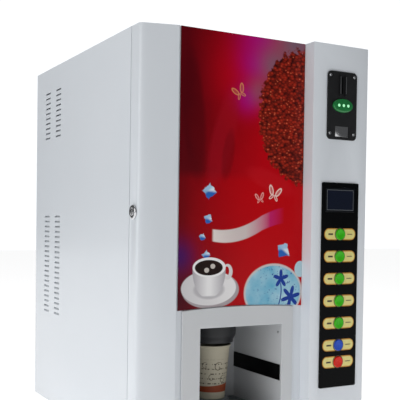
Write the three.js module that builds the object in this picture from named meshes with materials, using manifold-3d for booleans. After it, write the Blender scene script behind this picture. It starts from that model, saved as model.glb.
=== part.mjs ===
// A table-top hot coffee vending machine: a sheet-steel cabinet with a hinged front door.
// The door carries the poster, the raised control column and the cup bay; the cabinet
// holds the canisters, mixing bowls, cup magazine, boiler, pump, power supply and fan.
// Millimetres. X runs from the left side to the right, Y from the front to the back, Z up.
// Inside MACHINE, x = 0 is the left side, y = 0 the front left corner, z = 0 the cabinet's bottom edge.

import * as THREE from 'three';
import { mergeVertices } from 'three/addons/utils/BufferGeometryUtils.js';
import Module from 'manifold-3d';

const wasm = await Module();
wasm.setup();

// ---------------------------------------------------------------- driving dimensions

// Cabinet
const WIDTH = 450;
const DEPTH = 566;
const HEIGHT = 720;
const SHEET = 1.5;              // steel sheet of the cabinet and the door
const FIT = 0.4;                // gap left between pieces that touch
const FLANGE = 12;              // folded edges of the steel sheets
const FOOT_HEIGHT = 20;
const FOOT_RADIUS = 17;
const FOOT_INSET = 48;

// Side vents: two columns of slots in an upper and a lower group
const VENT_LENGTH = 32;
const VENT_HEIGHT = 4;
const VENT_PITCH = 10.8;
const VENT_BOW = 0.6;
const VENT_STAGGER = 0.2;       // front column's slots above the rear column's
const VENT_FROM_BACK = 80;      // centre of the rear column
const VENT_COLUMN_PITCH = 69;
const VENT_ROWS_UPPER = 10;
const VENT_ROWS_LOWER = 20;
const VENT_TOP_DROP = 52.5;     // top row's centre below the cabinet's top
const VENT_LOWER_BASE = 195;    // lowest row's centre

// Door
const DOOR_BACK = 38;           // y of the door's rear edge
const DOOR_GAP = 2;             // seam between the door and the cabinet
const POST_WIDTH = 65;          // slanted left post
const POST_FRONT = -12;
const CORNER_SIDE = 10;         // where the left side starts to turn into the post
const CORNER_FACE = 12;
const PANEL_Y = -9;             // flat sheet behind the poster
const COLUMN_WIDTH = 127;
const COLUMN_FRONT = -37.5;
const COLUMN_CORNER = 5;
const DOOR_SWING_GAP = 5.5;     // hinge pin's distance outside the right side

// Poster
const POSTER_THICK = 1.6;
const POSTER_LEFT_GAP = 3.5;
const POSTER_ARCH = 5;          // rise of the poster's lower edge at its middle

// Cup bay in the door
const BAY_WIDTH = 168;
const BAY_BACK = 151;
const BAY_TOP = 211.5;
const BAY_BOTTOM = 34;
const BAY_WALL = 2;
const BEZEL_SIDE_LEFT = 35;
const BEZEL_SIDE_RIGHT = 24;
const BEZEL_TOP = 243;
const BEZEL_BOTTOM = 14;
const BEZEL_THICK = 3.5;
const STRIP_HEIGHT = 29;
const STRIP_BASE = 108;
const STRIP_THICK = 1.2;

// Cup, tray and drink outlet
const CUP_Y = 96;
const CUP_HEIGHT = 100;
const CUP_RIM = 36.5;
const CUP_BASE = 26;
const CUP_WALL = 1;
const TRAY_TOP = 46;
const TRAY_WALL = 1.6;
const GRILLE_THICK = 3;
const STAND_RADIUS = 34;
const STAND_HEIGHT = 16;
const CUP_CLEARANCE = 2;        // round a cup that falls
const SHROUD_BOTTOM_GAP = 5;    // between the cup's rim and the shroud
const SHROUD_TAPER = 5;
const SHROUD_WALL = 1.8;

// Cup magazine
const MAGAZINE_FLOOR = 262;
const DROPPER_HEIGHT = 66;
const DROPPER_WALL = 5;
const DROP_RING_WALL = 8;
const TUBE_WALL = 1.5;
const TOP_CLEARANCE = 26;       // between the cabinet's top and what stands below it

// Coin plate, its button and its return flap
const COIN_PLATE_WIDTH = 67;
const COIN_PLATE_HEIGHT = 124;
const COIN_PLATE_DROP = 110.7;  // centre below the cabinet's top
const PLATE_THICK = 2.5;
const COIN_SLOT_WIDTH = 3.2;
const COIN_SLOT_LENGTH = 32;
const COIN_SLOT_RISE = 37;      // slot's centre above the plate's centre
const REJECT_WIDTH = 45;
const REJECT_HEIGHT = 25;
const RETURN_WIDTH = 31;
const RETURN_HEIGHT = 20;
const RETURN_DROP = 47;
const MECH_BACK = 30;

// Keypad
const KEYPAD_WIDTH = 84;
const KEYPAD_BASE = 93;
const KEYPAD_HEIGHT = 375.5;
const KEYPAD_THICK = 2;
const DISPLAY_WIDTH = 68;
const DISPLAY_HEIGHT = 44;
const DISPLAY_DROP = 31.5;      // display's centre below the keypad's top
const BUTTON_RADIUS = 8.2;
const BUTTON_PROUD = 2.8;
const BUTTON_FIRST_DROP = 94;
const BUTTON_PITCH = 40.8;
const BUTTON_LAST_PITCH = 31;
const BUTTON_COUNT = 7;

// Lock in the door's left side
const LOCK_Y = 20;
const LOCK_Z = 408;
const LOCK_BODY = 9.5;
const LOCK_FLANGE = 12.5;
const LOCK_CORE = 6;
const LOCK_PROUD = 4;
const LOCK_ARM = 30;

// Inside the cabinet
const FRAME_STILE_LEFT = 70;
const FRAME_STILE_RIGHT = 40;
const FRAME_RAIL = 24;
const WALL_Y = 185;             // upright machine wall behind the bowls
const SHELF_Z = 440;            // canister shelf
const CANISTER_WIDTH = 60;
const CANISTER_PITCH = 64;
const CANISTER_DEPTH = 190;
const CANISTER_WALL = 2;
const CANISTER_FRONT = 165;
const AUGER_RADIUS = 12;
const SPOUT_REACH = 30;
const BOWL_RADIUS = 28;
const BOWL_TOP = 412;
const BOWL_HEIGHT = 52;
const CHAMBER_RADIUS = 17;
const CHAMBER_LENGTH = 34;
const WHIPPER_RADIUS = 12;
const BOILER_RADIUS = 62;
const BOILER_HEIGHT = 300;
const BOILER_DOME = 20;         // the rounded shoulder below its top
const BOILER_OUTLET = 8;
const SERVICE_GAP = 30;         // free space round what stands on the base pan
const PUMP_RADIUS = 22;
const PUMP_HEAD_RADIUS = 17;
const PUMP_AXIS = 40;           // its height over the base pan
const PUMP_FROM_BACK = 110;
const SUPPLY_WIDTH = 100;
const SUPPLY_DEPTH = 160;
const SUPPLY_HEIGHT = 62;
const COIN_BOX_WIDTH = 110;
const COIN_BOX_HEIGHT = 110;
const COIN_BOX_WALL = 2;
const FAN_RADIUS = 42;
const FAN_DEPTH = 25;
const FAN_FROM_RIGHT = 120;
const FAN_DROP = 130;

const AUGER_SHAFT = 3;
const AUGER_TURNS = 5;
const WHIPPER_SHAFT = 3;
const INLET_X = 90;
const INLET_Z = 60;
const INLET_WIDTH = 27.5;
const INLET_HEIGHT = 20;
const INLET_DEPTH = 24;
const INLET_FLANGE = 2.5;
const CONTACT_PITCH = 7;
const GRILLE_SLOTS = 9;
const HOOK_THICK = 3;
const HOOK_X = 16;
const HOOK_SLOT_DROP = 6;       // slot's lower edge below the lock's axis
const HINGE_BASE = 40;
const HINGE_KNUCKLES = 5;
const KNUCKLE_RADIUS = 4.5;
const PIN_RADIUS = 2;

// ---------------------------------------------------------------- places worked out from them

const COLUMN_X = WIDTH - COLUMN_WIDTH;
const COLUMN_CENTRE = WIDTH - COLUMN_WIDTH / 2;
const POSTER_X = POST_WIDTH + POSTER_LEFT_GAP;
const BAY_CENTRE = (POSTER_X + COLUMN_X) / 2;
const BAY_LEFT = BAY_CENTRE - BAY_WIDTH / 2;
const BAY_RIGHT = BAY_CENTRE + BAY_WIDTH / 2;
const CABINET_FRONT = DOOR_BACK + DOOR_GAP;
const HINGE_X = WIDTH + DOOR_SWING_GAP;
const HINGE_Y = DOOR_BACK + DOOR_GAP / 2;
const GRILLE_TOP = TRAY_TOP + FIT + GRILLE_THICK;
const CUP_Z = GRILLE_TOP + STAND_HEIGHT + FIT;
const DROP_BORE = CUP_RIM + CUP_CLEARANCE;
const RING_OUTER = DROP_BORE + DROP_RING_WALL;
const SHROUD_BOTTOM = CUP_Z + CUP_HEIGHT + SHROUD_BOTTOM_GAP;
const BAY_CEILING = BAY_TOP + BAY_WALL;
const COIN_Z = HEIGHT - COIN_PLATE_DROP;
const KEYPAD_TOP = KEYPAD_BASE + KEYPAD_HEIGHT;
const DISPLAY_Z = KEYPAD_TOP - DISPLAY_DROP;
const PLATE_BACK = COLUMN_FRONT - FIT;
const PLATE_FRONT = PLATE_BACK - PLATE_THICK;
const KEYPAD_FRONT = PLATE_BACK - KEYPAD_THICK;
const FRAME_Y = CABINET_FRONT + 2 * SHEET + 2 * FIT;
const BACK_Y = DEPTH - 2 * SHEET - FIT;      // front face of the back panel
const FLOOR_Z = SHEET + FIT;                 // what stands on the base pan
const INNER_X = 2 * (SHEET + FIT);           // inside the folded edges of the base pan
const FAN_X = WIDTH - FAN_FROM_RIGHT;
const FAN_Z = HEIGHT - FAN_DROP;
const CANISTER_CENTRES = [2, 1, 0].map((i) => WIDTH - 10 - CANISTER_WIDTH / 2 - i * CANISTER_PITCH);
const CHAMBER_Z = BOWL_TOP - BOWL_HEIGHT - CHAMBER_RADIUS - 4;
const SPOUT_Y = CANISTER_FRONT - SPOUT_REACH / 2;
const SHROUD_TOP = DROP_BORE + SHROUD_WALL + SHROUD_TAPER;
const RETURN_Z = COIN_Z - RETURN_DROP;
const AUGER_Z = SHELF_Z + SHEET + FIT + CANISTER_WALL + AUGER_RADIUS + 2;

// ---------------------------------------------------------------- shapes

const ALONG_X = new THREE.Matrix4().makeBasis(
  new THREE.Vector3(0, 1, 0), new THREE.Vector3(0, 0, 1), new THREE.Vector3(1, 0, 0));

function box(x0, x1, y0, y1, z0, z1) {
  return new THREE.BoxGeometry(x1 - x0, y1 - y0, z1 - z0)
    .translate((x0 + x1) / 2, (y0 + y1) / 2, (z0 + z1) / 2);
}

// An outline in X and Y, raised from z0 to z1
function prismZ(shape, z0, z1, curveSegments = 5) {
  return new THREE.ExtrudeGeometry(shape, { depth: z1 - z0, bevelEnabled: false, curveSegments })
    .translate(0, 0, z0);
}

// An outline in X and Z, from y0 back to y1
function prismY(shape, y0, y1, curveSegments = 5) {
  return new THREE.ExtrudeGeometry(shape, { depth: y1 - y0, bevelEnabled: false, curveSegments })
    .rotateX(Math.PI / 2).translate(0, y1, 0);
}

// An outline in Y and Z, from x0 across to x1
function prismX(shape, x0, x1, curveSegments = 5) {
  return new THREE.ExtrudeGeometry(shape, { depth: x1 - x0, bevelEnabled: false, curveSegments })
    .applyMatrix4(ALONG_X).translate(x0, 0, 0);
}

function rodX(radius, x0, x1, y, z, sides = 16) {
  return new THREE.CylinderGeometry(radius, radius, x1 - x0, sides)
    .rotateZ(-Math.PI / 2).translate((x0 + x1) / 2, y, z);
}

function rodY(radius, y0, y1, x, z, sides = 16) {
  return new THREE.CylinderGeometry(radius, radius, y1 - y0, sides).translate(x, (y0 + y1) / 2, z);
}

function rodZ(radius, z0, z1, x, y, sides = 16) {
  return new THREE.CylinderGeometry(radius, radius, z1 - z0, sides)
    .rotateX(Math.PI / 2).translate(x, y, (z0 + z1) / 2);
}

// A profile of [radius, z] pairs turned about the upright axis at x, y
function turned(profile, x, y, sides = 24) {
  const points = profile.map(([radius, z]) => new THREE.Vector2(radius, z));
  return new THREE.LatheGeometry(points, sides).rotateX(Math.PI / 2).translate(x, y, 0);
}

function rectangle(x0, x1, y0, y1, radius = 0) {
  const shape = new THREE.Shape();
  if (radius === 0) {
    return shape.moveTo(x0, y0).lineTo(x1, y0).lineTo(x1, y1).lineTo(x0, y1);
  }
  return shape.moveTo(x0 + radius, y0)
    .lineTo(x1 - radius, y0).absarc(x1 - radius, y0 + radius, radius, -Math.PI / 2, 0)
    .lineTo(x1, y1 - radius).absarc(x1 - radius, y1 - radius, radius, 0, Math.PI / 2)
    .lineTo(x0 + radius, y1).absarc(x0 + radius, y1 - radius, radius, Math.PI / 2, Math.PI)
    .lineTo(x0, y0 + radius).absarc(x0 + radius, y0 + radius, radius, Math.PI, Math.PI * 1.5);
}

function polygon(points) {
  return new THREE.Shape(points.map(([x, y]) => new THREE.Vector2(x, y)));
}

// ---------------------------------------------------------------- joining and cutting

function toSolid(geometry) {
  const bare = geometry.clone();
  bare.deleteAttribute('normal');
  bare.deleteAttribute('uv');
  const merged = mergeVertices(bare, 1e-4);
  return new wasm.Manifold(new wasm.Mesh({
    numProp: 3,
    vertProperties: new Float32Array(merged.attributes.position.array),
    triVerts: new Uint32Array(merged.index.array),
  }));
}

function toGeometry(solid) {
  const mesh = solid.getMesh();
  const geometry = new THREE.BufferGeometry();
  geometry.setAttribute('position', new THREE.BufferAttribute(mesh.vertProperties, 3));
  geometry.setIndex(new THREE.BufferAttribute(mesh.triVerts, 1));
  geometry.computeVertexNormals();
  return geometry;
}

function join(first, ...others) {
  return toGeometry(others.reduce((solid, other) => solid.add(toSolid(other)), toSolid(first)));
}

function cut(first, ...tools) {
  return toGeometry(tools.reduce((solid, tool) => solid.subtract(toSolid(tool)), toSolid(first)));
}

// ---------------------------------------------------------------- finishes and nodes

const WHITE_PAINT = { color: 0xd2d8e0, roughness: 0.35, metalness: 0 };
const WHITE_PLASTIC = { color: 0xc4c6ca, roughness: 0.45, metalness: 0 };
const BLACK_GLOSS = { color: 0x0b0c0d, roughness: 0.2, metalness: 0 };
const BLACK_PLASTIC = { color: 0x16171a, roughness: 0.55, metalness: 0 };
const RUBBER = { color: 0x1c1c1e, roughness: 0.85, metalness: 0 };
const GREY_PLASTIC = { color: 0x6c7176, roughness: 0.5, metalness: 0 };
const ZINC = { color: 0xa9adb2, roughness: 0.4, metalness: 0.9 };
const CHROME = { color: 0xc8c8c8, roughness: 0.15, metalness: 1 };
const STAINLESS = { color: 0xb8babc, roughness: 0.3, metalness: 1 };
const CLEAR_PLASTIC = { color: 0xd8e2e6, roughness: 0.2, metalness: 0 };
const POSTER_RED = { color: 0xa0060c, roughness: 0.25, metalness: 0 };
const PAPER = { color: 0xe6e0cc, roughness: 0.7, metalness: 0 };
const DISPLAY_BLUE = { color: 0x0f1723, roughness: 0.15, metalness: 0 };
const GREEN = { color: 0x28a00a, roughness: 0.35, metalness: 0 };
const BLUE = { color: 0x193c96, roughness: 0.35, metalness: 0 };
const RED = { color: 0xbe190a, roughness: 0.35, metalness: 0 };
const COIN_GREEN = { color: 0x146e32, roughness: 0.35, metalness: 0 };

const machine = new THREE.Group();

function piece(name, geometry, finish) {
  const mesh = new THREE.Mesh(geometry, new THREE.MeshStandardMaterial(finish));
  mesh.name = name;
  machine.add(mesh);
}

// ---------------------------------------------------------------- cabinet

// Every slot's height and half length: the slots lengthen by up to VENT_BOW towards the top
function ventSlots() {
  const upperBase = HEIGHT - VENT_TOP_DROP - (VENT_ROWS_UPPER - 1) * VENT_PITCH;
  const heights = [...Array(VENT_ROWS_LOWER).keys()].map((i) => VENT_LOWER_BASE + i * VENT_PITCH)
    .concat([...Array(VENT_ROWS_UPPER).keys()].map((i) => upperBase + i * VENT_PITCH));
  return heights.map((z, i) => ({ z, half: VENT_LENGTH / 2 + VENT_BOW * (i / heights.length) ** 2 }));
}

// A side sheet with folded front and rear edges; inward is +1 for the left side, -1 for the right
function sidePanel(name, outerX, inward) {
  const span = (a, b) => [outerX + inward * a, outerX + inward * b].sort((p, q) => p - q);
  const slots = ventSlots().flatMap(({ z, half }) => [0, 1].map((column) => {
    const y = DEPTH - VENT_FROM_BACK - column * VENT_COLUMN_PITCH;
    const middle = z + column * VENT_STAGGER;
    return box(...span(-1, SHEET + 1), y - half, y + half, middle - VENT_HEIGHT / 2, middle + VENT_HEIGHT / 2);
  }));
  const channel = polygon([[0, CABINET_FRONT], [FLANGE, CABINET_FRONT], [FLANGE, CABINET_FRONT + SHEET],
    [SHEET, CABINET_FRONT + SHEET], [SHEET, DEPTH - SHEET], [FLANGE, DEPTH - SHEET], [FLANGE, DEPTH], [0, DEPTH]]
    .map(([x, y]) => [outerX + inward * x, y]));
  piece(name, cut(prismZ(channel, 0, HEIGHT), ...slots), WHITE_PAINT);
}

// A sheet with its four edges folded towards the inside of the cabinet
function pan(name, z0, z1, openAt) {
  const x0 = SHEET + FIT;
  const y0 = CABINET_FRONT + SHEET + FIT;
  const y1 = BACK_Y - FIT;
  const hollow = box(x0 + SHEET, WIDTH - x0 - SHEET, y0 + SHEET, y1 - SHEET, ...openAt);
  piece(name, cut(box(x0, WIDTH - x0, y0, y1, z0, z1), hollow), WHITE_PAINT);
}

function backPanel() {
  const x0 = SHEET + FIT;
  const sheet = rectangle(x0, WIDTH - x0, FIT, HEIGHT - FIT);
  sheet.holes.push(new THREE.Path().absarc(FAN_X, FAN_Z, FAN_RADIUS, 0, 2 * Math.PI, false));
  sheet.holes.push(rectangle(INLET_X - INLET_WIDTH / 2, INLET_X + INLET_WIDTH / 2,
    INLET_Z - INLET_HEIGHT / 2, INLET_Z + INLET_HEIGHT / 2));
  piece('back_panel', prismY(sheet, BACK_Y, BACK_Y + SHEET, 8), ZINC);
}

function feet() {
  const profile = [[0, -FOOT_HEIGHT], [FOOT_RADIUS - 2, -FOOT_HEIGHT], [FOOT_RADIUS, -FOOT_HEIGHT + 2],
    [FOOT_RADIUS - 3, -FIT], [0, -FIT]];
  const front = CABINET_FRONT + FOOT_INSET;
  const back = DEPTH - FOOT_INSET;
  piece('foot_front_left', turned(profile, FOOT_INSET, front, 16), RUBBER);
  piece('foot_front_right', turned(profile, WIDTH - FOOT_INSET, front, 16), RUBBER);
  piece('foot_back_left', turned(profile, FOOT_INSET, back, 16), RUBBER);
  piece('foot_back_right', turned(profile, WIDTH - FOOT_INSET, back, 16), RUBBER);
}

// The frame behind the door, with the slot whose lower edge the lock's hook catches
function frontFrame() {
  const sheet = rectangle(INNER_X, WIDTH - INNER_X, FLOOR_Z, HEIGHT - FLOOR_Z);
  sheet.holes.push(rectangle(FRAME_STILE_LEFT, WIDTH - FRAME_STILE_RIGHT, FRAME_RAIL, HEIGHT - FRAME_RAIL));
  sheet.holes.push(rectangle(HOOK_X - 3, HOOK_X + HOOK_THICK + 3, LOCK_Z - HOOK_SLOT_DROP, LOCK_Z + LOCK_ARM - 4));
  piece('front_frame', prismY(sheet, FRAME_Y, FRAME_Y + SHEET), WHITE_PAINT);
}

function machineWall() {
  const sheet = rectangle(INNER_X, WIDTH - INNER_X, FLOOR_Z, SHELF_Z - FIT);
  for (const x of CANISTER_CENTRES) {
    sheet.holes.push(new THREE.Path().absarc(x, CHAMBER_Z, WHIPPER_SHAFT + 1, 0, 2 * Math.PI, false));
  }
  piece('machine_wall', prismY(sheet, WALL_Y, WALL_Y + SHEET), STAINLESS);
}

function shelves() {
  const x0 = SHEET + FIT;
  const middle = rectangle(x0, WIDTH - x0, FRAME_Y + SHEET + FIT, WALL_Y - FIT);
  middle.holes.push(new THREE.Path().absarc(BAY_CENTRE, CUP_Y, DROP_BORE + 6, 0, 2 * Math.PI, false));
  piece('middle_shelf', prismZ(middle, MAGAZINE_FLOOR - FIT - SHEET, MAGAZINE_FLOOR - FIT, 8), STAINLESS);

  const left = CANISTER_CENTRES[0] - CANISTER_WIDTH / 2 - 4;
  const back = CANISTER_FRONT + CANISTER_DEPTH + FIT;
  const flat = box(left, WIDTH - x0, CANISTER_FRONT - 4, back + SHEET, SHELF_Z, SHELF_Z + SHEET);
  const upright = box(left, WIDTH - x0, back, back + SHEET, SHELF_Z, AUGER_Z + 40);
  const bores = CANISTER_CENTRES.map((x) => rodY(AUGER_SHAFT + 1, back - 5, back + 5, x, AUGER_Z, 16));
  piece('canister_shelf', cut(join(flat, upright), ...bores), STAINLESS);
}

// ---------------------------------------------------------------- cup magazine

function cupMagazine() {
  const top = MAGAZINE_FLOOR + DROPPER_HEIGHT;
  const half = RING_OUTER + FIT + DROPPER_WALL;
  const seat = MAGAZINE_FLOOR + DROPPER_WALL;
  const block = prismZ(rectangle(BAY_CENTRE - half, BAY_CENTRE + half, CUP_Y - half, CUP_Y + half, 6),
    MAGAZINE_FLOOR, top);
  const bore = rodZ(DROP_BORE, MAGAZINE_FLOOR - 1, top + 1, BAY_CENTRE, CUP_Y, 32);
  const chamber = rodZ(RING_OUTER + FIT, seat, top + 1, BAY_CENTRE, CUP_Y, 32);
  piece('cup_drop_housing', cut(block, bore, chamber), BLACK_PLASTIC);

  const ring = turned([[DROP_BORE, seat + FIT], [RING_OUTER, seat + FIT], [RING_OUTER, top - FIT],
    [DROP_BORE, top - FIT], [DROP_BORE, seat + FIT]], BAY_CENTRE, CUP_Y, 28);
  const notches = [0, 1, 2, 3].map((i) => box(RING_OUTER - 3, RING_OUTER + 3, -4, 4, seat + 12, top - 12)
    .rotateZ(i * Math.PI / 2).translate(BAY_CENTRE, CUP_Y, 0));
  piece('cup_drop_ring', cut(ring, ...notches), GREY_PLASTIC);

  const outer = DROP_BORE + TUBE_WALL;
  const tubeTop = HEIGHT - TOP_CLEARANCE;
  piece('cup_tube', turned([[DROP_BORE, top + FIT], [half - 1, top + FIT], [half - 1, top + 3],
    [outer, top + 3], [outer, tubeTop], [DROP_BORE, tubeTop], [DROP_BORE, top + FIT]],
  BAY_CENTRE, CUP_Y), CLEAR_PLASTIC);
}

// ---------------------------------------------------------------- ingredients

// Half-round trough at the bottom, slanted shoulders and straight sides above
function canisterOutline(x, inset) {
  const half = CANISTER_WIDTH / 2 - inset;
  const trough = AUGER_RADIUS + 2 + CANISTER_WALL - inset;
  const shoulder = AUGER_Z + 30;
  const top = HEIGHT - TOP_CLEARANCE + (inset > 0 ? 1 : 0);
  return new THREE.Shape().moveTo(x + half, top).lineTo(x - half, top)
    .lineTo(x - half, shoulder).lineTo(x - trough, AUGER_Z + 4)
    .absarc(x, AUGER_Z, trough, Math.PI, 2 * Math.PI)
    .lineTo(x + trough, AUGER_Z + 4).lineTo(x + half, shoulder);
}

function canister(index, x) {
  const front = CANISTER_FRONT;
  const back = CANISTER_FRONT + CANISTER_DEPTH;
  const bore = AUGER_RADIUS + 2;
  const body = prismY(canisterOutline(x, 0), front, back);
  const inside = prismY(canisterOutline(x, CANISTER_WALL), front + CANISTER_WALL, back - CANISTER_WALL);
  const spout = rodY(bore + CANISTER_WALL, front - SPOUT_REACH, front + 1, x, AUGER_Z, 16);
  const spoutBore = rodY(bore, front - SPOUT_REACH + CANISTER_WALL, front + 4, x, AUGER_Z, 16);
  const outlet = box(x - bore + 3, x + bore - 3, SPOUT_Y - 8, SPOUT_Y + 6, AUGER_Z - bore - 5, AUGER_Z);
  const shaftBore = rodY(AUGER_SHAFT + FIT, back - 4, back + 1, x, AUGER_Z, 16);
  piece(`canister_${index}`, cut(join(body, spout), inside, spoutBore, outlet, shaftBore), CLEAR_PLASTIC);
}

// A round flight wound in a helix on a shaft that leaves the canister at the back
function auger(index, x) {
  const y0 = CANISTER_FRONT - SPOUT_REACH + CANISTER_WALL + 6;
  const y1 = CANISTER_FRONT + CANISTER_DEPTH - CANISTER_WALL - 6;
  const radius = (AUGER_RADIUS + AUGER_SHAFT) / 2;
  const thick = AUGER_RADIUS - radius;
  const path = new THREE.Curve();
  path.getPoint = (t, target = new THREE.Vector3()) => {
    const angle = 2 * Math.PI * AUGER_TURNS * t;
    return target.set(x + radius * Math.cos(angle), y0 + (y1 - y0) * t, AUGER_Z + radius * Math.sin(angle));
  };
  const section = polygon([0, 1, 2, 3].map((i) => 2 * Math.PI * i / 4)
    .map((angle) => [thick * Math.cos(angle), thick * Math.sin(angle)]));
  const flight = new THREE.ExtrudeGeometry(section, { extrudePath: path, steps: AUGER_TURNS * 8 });
  const shaft = rodY(AUGER_SHAFT, y0 - thick, y1 + 28, x, AUGER_Z, 8);
  piece(`auger_${index}`, join(shaft, flight), STAINLESS);
}

// A funnel over a round whipping chamber that drains at its front
function mixingBowl(index, x) {
  const neck = BOWL_TOP - BOWL_HEIGHT;
  const wall = 2;
  const funnel = turned([[0, neck - 6], [10, neck - 6], [10, neck], [BOWL_RADIUS, BOWL_TOP - 14],
    [BOWL_RADIUS, BOWL_TOP], [0, BOWL_TOP]], x, SPOUT_Y, 16);
  const hollow = turned([[0, neck - 12], [10 - wall, neck - 12], [10 - wall, neck],
    [BOWL_RADIUS - wall, BOWL_TOP - 13], [BOWL_RADIUS - wall, BOWL_TOP + 1], [0, BOWL_TOP + 1]],
  x, SPOUT_Y, 16);
  const y0 = SPOUT_Y - CHAMBER_LENGTH / 2;
  const y1 = SPOUT_Y + CHAMBER_LENGTH / 2;
  const chamber = rodY(CHAMBER_RADIUS, y0, y1, x, CHAMBER_Z, 14);
  const inside = rodY(CHAMBER_RADIUS - wall, y0 + wall, y1 - wall, x, CHAMBER_Z, 14);
  const shaftBore = rodY(WHIPPER_SHAFT + FIT, y1 - 4, y1 + 1, x, CHAMBER_Z, 16);
  const drain = rodZ(6, CHAMBER_Z - CHAMBER_RADIUS - 14, CHAMBER_Z, x, SPOUT_Y - 6, 10);
  const drainBore = rodZ(4.4, CHAMBER_Z - CHAMBER_RADIUS - 15, CHAMBER_Z, x, SPOUT_Y - 6, 10);
  const shell = join(funnel, chamber, drain);
  piece(`mixing_bowl_${index}`, cut(shell, hollow, inside, drainBore, shaftBore), CLEAR_PLASTIC);
}

// A disc with four blades on a shaft that passes through the machine wall
function whipper(index, x) {
  const middle = SPOUT_Y;
  const disc = rodY(WHIPPER_RADIUS, middle + 4, middle + 6, x, CHAMBER_Z);
  const blades = [0, 1].map((i) => box(-WHIPPER_RADIUS + 1, WHIPPER_RADIUS - 1, middle - 6, middle + 5, -1, 1)
    .rotateY(i * Math.PI / 2).translate(x, 0, CHAMBER_Z));
  const shaft = rodY(WHIPPER_SHAFT, middle - 8, WALL_Y + SHEET + 12, x, CHAMBER_Z, 12);
  piece(`whipper_${index}`, join(shaft, disc, ...blades), BLACK_PLASTIC);
}

// ---------------------------------------------------------------- boiler, pump, supplies

function services() {
  const boilerX = SHEET + SERVICE_GAP + BOILER_RADIUS;
  const boilerY = BACK_Y - SERVICE_GAP - BOILER_RADIUS;
  const boilerTop = FLOOR_Z + BOILER_HEIGHT;
  const skirt = BOILER_RADIUS + 6;
  piece('boiler_tank', turned([[0, FLOOR_Z], [skirt, FLOOR_Z], [skirt, FLOOR_Z + 4],
    [BOILER_RADIUS, FLOOR_Z + 4], [BOILER_RADIUS, boilerTop - BOILER_DOME], [BOILER_RADIUS - BOILER_DOME, boilerTop],
    [BOILER_OUTLET, boilerTop], [BOILER_OUTLET, boilerTop + 18], [0, boilerTop + 18]], boilerX, boilerY, 20), STAINLESS);

  const pumpX = boilerX + BOILER_RADIUS + 2 * SERVICE_GAP;
  const pumpY = BACK_Y - PUMP_FROM_BACK;
  const bracket = box(pumpX - 24, pumpX + 24, pumpY - 45, pumpY + 45, FLOOR_Z, FLOOR_Z + 3);
  const stand = box(pumpX - 12, pumpX + 12, pumpY - 30, pumpY + 30, FLOOR_Z, FLOOR_Z + 26);
  const motor = rodY(PUMP_RADIUS, pumpY - 42, pumpY + 30, pumpX, FLOOR_Z + PUMP_AXIS);
  const head = rodY(PUMP_HEAD_RADIUS, pumpY + 28, pumpY + 58, pumpX, FLOOR_Z + PUMP_AXIS);
  piece('water_pump', join(bracket, stand, motor, head), BLACK_PLASTIC);

  const supplyX = WIDTH - SHEET - 20;
  const supplyBack = BACK_Y - SERVICE_GAP;
  piece('power_supply', prismZ(rectangle(supplyX - SUPPLY_WIDTH, supplyX, supplyBack - SUPPLY_DEPTH, supplyBack, 3),
    FLOOR_Z, FLOOR_Z + SUPPLY_HEIGHT), ZINC);

  // Open at the top, where the coins fall in
  const wall = COIN_BOX_WALL;
  const coinX = WIDTH - SHEET - 18;
  const coinY = FRAME_Y + SHEET + 10;
  const outer = prismZ(rectangle(coinX - COIN_BOX_WIDTH, coinX, coinY, WALL_Y - 12, 6),
    FLOOR_Z, FLOOR_Z + COIN_BOX_HEIGHT);
  const inner = prismZ(rectangle(coinX - COIN_BOX_WIDTH + wall, coinX - wall, coinY + wall, WALL_Y - 12 - wall, 4),
    FLOOR_Z + wall, FLOOR_Z + COIN_BOX_HEIGHT + 1);
  piece('coin_box', cut(outer, inner), BLACK_PLASTIC);
}

function fan() {
  const back = BACK_Y - FIT;
  const front = back - FAN_DEPTH;
  const half = FAN_RADIUS + 4;
  const square = prismY(rectangle(FAN_X - half, FAN_X + half, FAN_Z - half, FAN_Z + half, 5), front, back);
  const bore = rodY(FAN_RADIUS, front - 1, back + 1, FAN_X, FAN_Z, 32);
  const spider = [0, 1].map((i) => box(-FAN_RADIUS - 1, FAN_RADIUS + 1, back - 3, back, -2.5, 2.5)
    .rotateY(Math.PI / 4 + i * Math.PI / 2).translate(FAN_X, 0, FAN_Z));
  const seat = rodY(16, back - 3, back, FAN_X, FAN_Z);
  piece('fan_housing', join(cut(square, bore), ...spider, seat), BLACK_PLASTIC);

  const hub = rodY(15, front + 2, back - 3 - FIT, FAN_X, FAN_Z);
  const blades = [...Array(7).keys()].map((i) => box(8, FAN_RADIUS - 2.5, -0.9, 0.9, -7, 7)
    .rotateX(Math.PI / 5).rotateY(i * 2 * Math.PI / 7).translate(FAN_X, (front + back) / 2 - 1, FAN_Z));
  piece('fan_rotor', join(hub, ...blades), BLACK_PLASTIC);
}

// A recessed socket with three contact blades, screwed into the back panel
function powerInlet() {
  const flangeY = BACK_Y + SHEET + FIT;
  const flange = prismY(rectangle(INLET_X - 25, INLET_X + 25, INLET_Z - 14, INLET_Z + 14, 5),
    flangeY, flangeY + INLET_FLANGE);
  const body = box(INLET_X - INLET_WIDTH / 2 + FIT, INLET_X + INLET_WIDTH / 2 - FIT, BACK_Y - INLET_DEPTH, flangeY + 1,
    INLET_Z - INLET_HEIGHT / 2 + FIT, INLET_Z + INLET_HEIGHT / 2 - FIT);
  const socket = box(INLET_X - 11.5, INLET_X + 11.5, BACK_Y - 15, flangeY + 4, INLET_Z - 7.5, INLET_Z + 7.5);
  const blades = [-CONTACT_PITCH, 0, CONTACT_PITCH].map((dx) => box(INLET_X + dx - 1, INLET_X + dx + 1, BACK_Y - 16, BACK_Y - 2,
    INLET_Z - 3, INLET_Z + 3));
  piece('power_inlet', join(cut(join(flange, body), socket), ...blades), BLACK_PLASTIC);
}

// ---------------------------------------------------------------- door

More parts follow.
